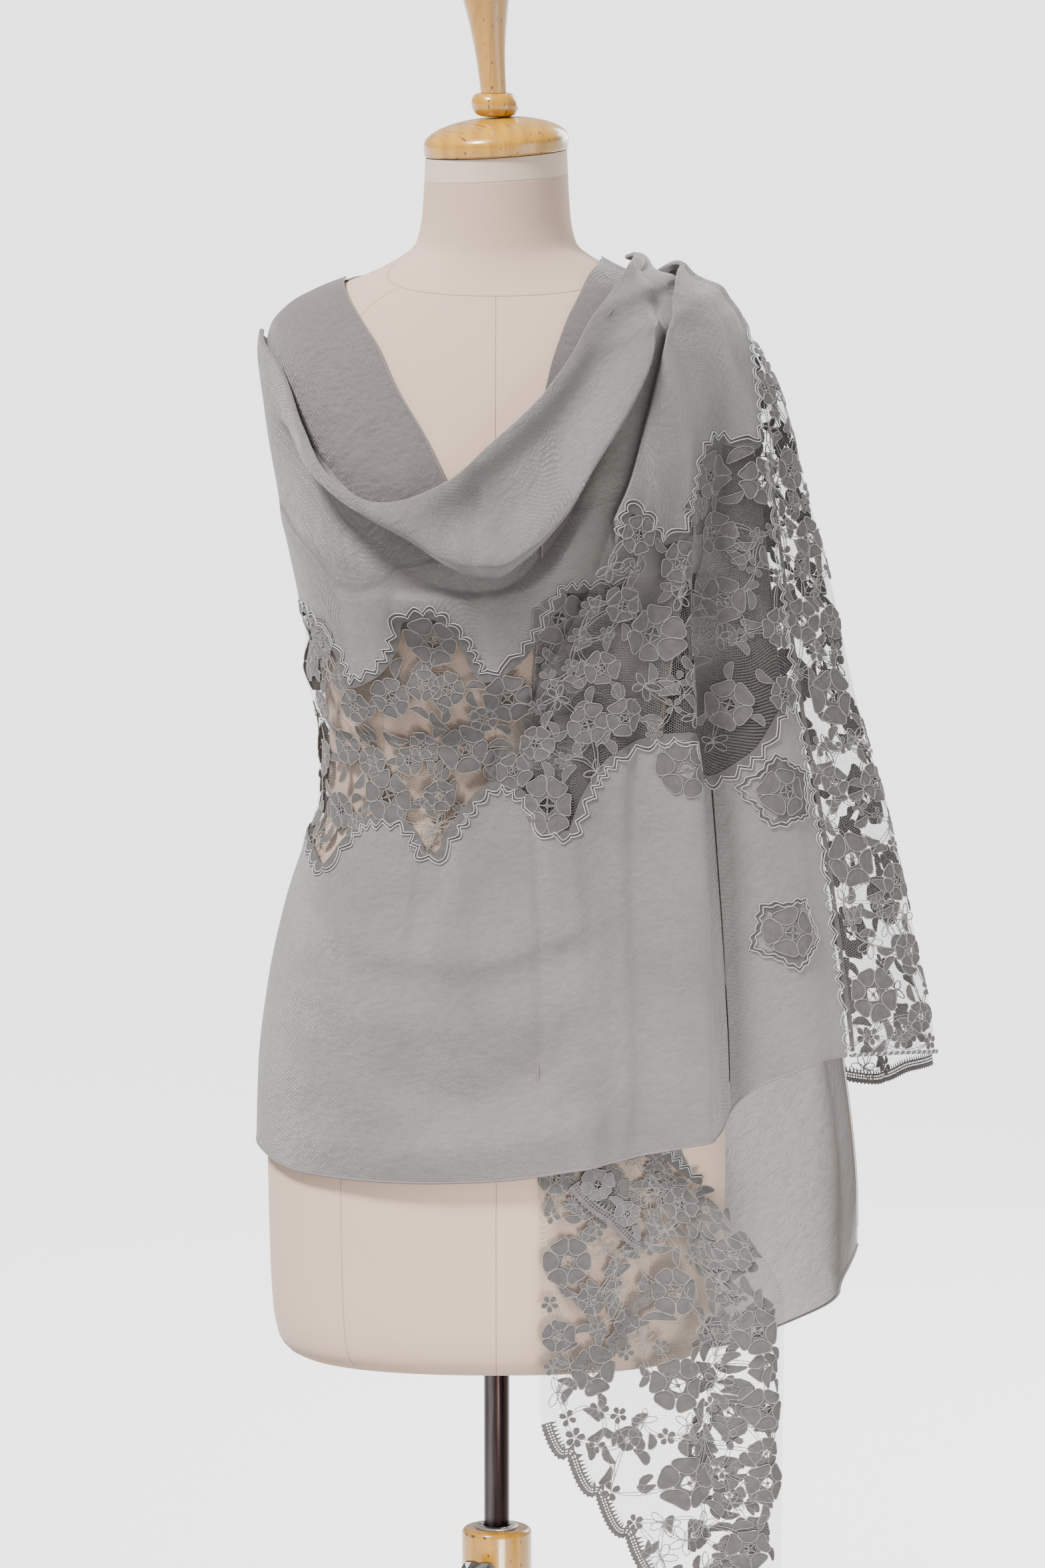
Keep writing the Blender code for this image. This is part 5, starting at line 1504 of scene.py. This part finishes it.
# scalloped hems of the end panels, and the second row of scallops inside the first end
firstTurns = np.linspace(15.4, 65.5, 400)
drawEdging(drawings["first_end_lace"], list(zip(firstTurns, endLaceEdge(firstTurns))), 1)
innerRow = between(((27.0, 0.560), (34.0, 0.566), (40.6, 0.573), (42.5, 0.594), (50.0, 0.616)))
drawEdging(drawings["first_end_lace"], innerRow, 1, (17.0, 3.5), 0.0010)
ruffleTurns = np.linspace(24.3, 44.7, 160)
drawEdging(drawings["first_end_ruffle"], list(zip(ruffleTurns, ruffleEdge(ruffleTurns))), 1)
fanTurns = np.linspace(91.6, 135.4, 300)
drawEdging(drawings["second_end_lace"], list(zip(fanTurns, fanEdge(fanTurns))), 1)

# rolled hems of the wool, and the twisted cord along the straight edge of the side band
hems = {
    "hem_front": (outerRadius, (-89.8, 90.9), (pathOf(hemEdge, -89.6, 78.8, 240),)),
    "hem_left_strip": (innerRadius, (-89.8, 0), (pathOf(neckEdgeLeft, -89.6, -0.5),)),
    "hem_right_strip": (firstRadius, (15.0, 90), (between(((15.1, 0.74), (15.1, 1.236))),)),
    "hem_fall": (backFallRadius, (86.1, 206), (
        pathOf(fallHem, 86.2, 205.8, 240), between(((86.2, 0.645), (86.2, 1.20))),
        between(((205.8, 0.628), (205.8, 1.185))),
    )),
    "hem_back": (wrapRadius, (92, 270), (pathOf(backHem, 92.3, 269.7, 200),)),
}
hemCord = {"radius": 0.0011, "sink": -0.0004}
for name, (surface, limits, paths) in hems.items():
    drawing = Drawing(surface, limits)
    for path in paths:
        _, at = stepped(surface, path, 2.5, 1)
        turn, rise = at(0.0)
        drawing.cord(turn, rise, hemCord["sink"], hemCord["radius"])
    drawing.build(name, "wool", "mauveWool", "wool")
twist = {"pitch": 5.0, "swing": 0.9, "radius": 0.0009}
for name, look, half in (("side_twist_light", "cord", 0.0), ("side_twist_dark", "darkCord", math.pi)):
    drawing = Drawing(outerRadius, (79.0, 91.2))
    s, at = stepped(outerRadius, pathOf(hemEdge, 79.3, 90.9), 0.8, 1)
    swing = 2 * math.pi * s / twist["pitch"] + half
    turn, rise = at(0.0008 + twist["swing"] / 1000 * np.sin(swing))
    drawing.cord(turn, rise, 0.0006 + twist["swing"] / 1000 * np.cos(swing), twist["radius"])
    drawing.build(name, look, look)

for name, drawing in drawings.items():
    drawing.build(name, "mauveThread" if name == "first_end_ruffle" else "thread", "outline")
for name, drawing in silver.items():
    drawing.build("silver_" + name, "thread", "cord")
print("lace drawn")


# Camera, floor and light. The camera stands where the photo's did, well back from the form.
view = {"target": (0.0186, 0.0, 0.9635), "distance": 6.0, "rise": 8.5, "height": 1.12, "sensor": 36.0}


def makeCamera():
    data = bpy.data.cameras.new("camera")
    made = bpy.data.objects.new("camera", data)
    bpy.context.scene.collection.objects.link(made)
    data.sensor_width = view["sensor"]
    data.lens = view["sensor"] * view["distance"] / view["height"]
    lift = math.radians(view["rise"])
    target = Vector(view["target"])
    back = Vector((0, -math.cos(lift), math.sin(lift)))
    made.location = target + back * view["distance"]
    made.rotation_euler = (-back).to_track_quat("-Z", "Y").to_euler()
    bpy.context.scene.camera = made


lamps = {  # place, aimed at, watts, size, spread in degrees
    "fill": ((2.6, -2.0, 1.0), (0.2, 0.0, 0.9), 26.0, 1.6, 180.0),
    "back": ((1.6, 2.4, 2.0), (0.1, 0.0, 1.0), 80.0, 1.6, 180.0),
    "low": ((0.5, -1.6, 0.30), (0.22, 0.05, 0.66), 3.0, 0.5, 45.0),
}
sun = {"turn": -48.0, "rise": 54.0, "strength": 9.5, "spread": 12.0}


def addLight(name, kind, place, aim):
    data = bpy.data.lights.new(name, kind)
    made = bpy.data.objects.new(name, data)
    made.location = place
    made.rotation_euler = (Vector(aim) - Vector(place)).to_track_quat("-Z", "Y").to_euler()
    bpy.context.scene.collection.objects.link(made)
    return data


def makeLights():
    for name, (place, aim, watts, size, spread) in lamps.items():
        data = addLight(name, "AREA", place, aim)
        data.energy = watts
        data.size = size
        data.spread = math.radians(spread)
    turn, rise = math.radians(sun["turn"]), math.radians(sun["rise"])
    place = Vector((math.sin(turn) * math.cos(rise), -math.cos(turn) * math.cos(rise), math.sin(rise)))
    data = addLight("sun", "SUN", place * 4, (0, 0, 0))
    data.energy = sun["strength"]
    data.angle = math.radians(sun["spread"])
    world = bpy.data.worlds.new("world")
    world.use_nodes = True
    background = world.node_tree.nodes["Background"].inputs
    background["Color"].default_value = (1.0, 1.0, 1.0, 1)
    background["Strength"].default_value = 0.85
    bpy.context.scene.world = world


def makeFloor():
    side = 90.0
    points = [(-side, -side, 0), (side, -side, 0), (side, side, 0), (-side, side, 0)]
    made = addMesh("floor", points, [(0, 1, 2, 3)], makePlain("floorPaint", (0.90, 0.90, 0.90), 0.8))
    made.visible_diffuse = False  # the floor is seen, and throws no light up on the cloth


makeCamera()
makeLights()
makeFloor()
print("camera and light set")
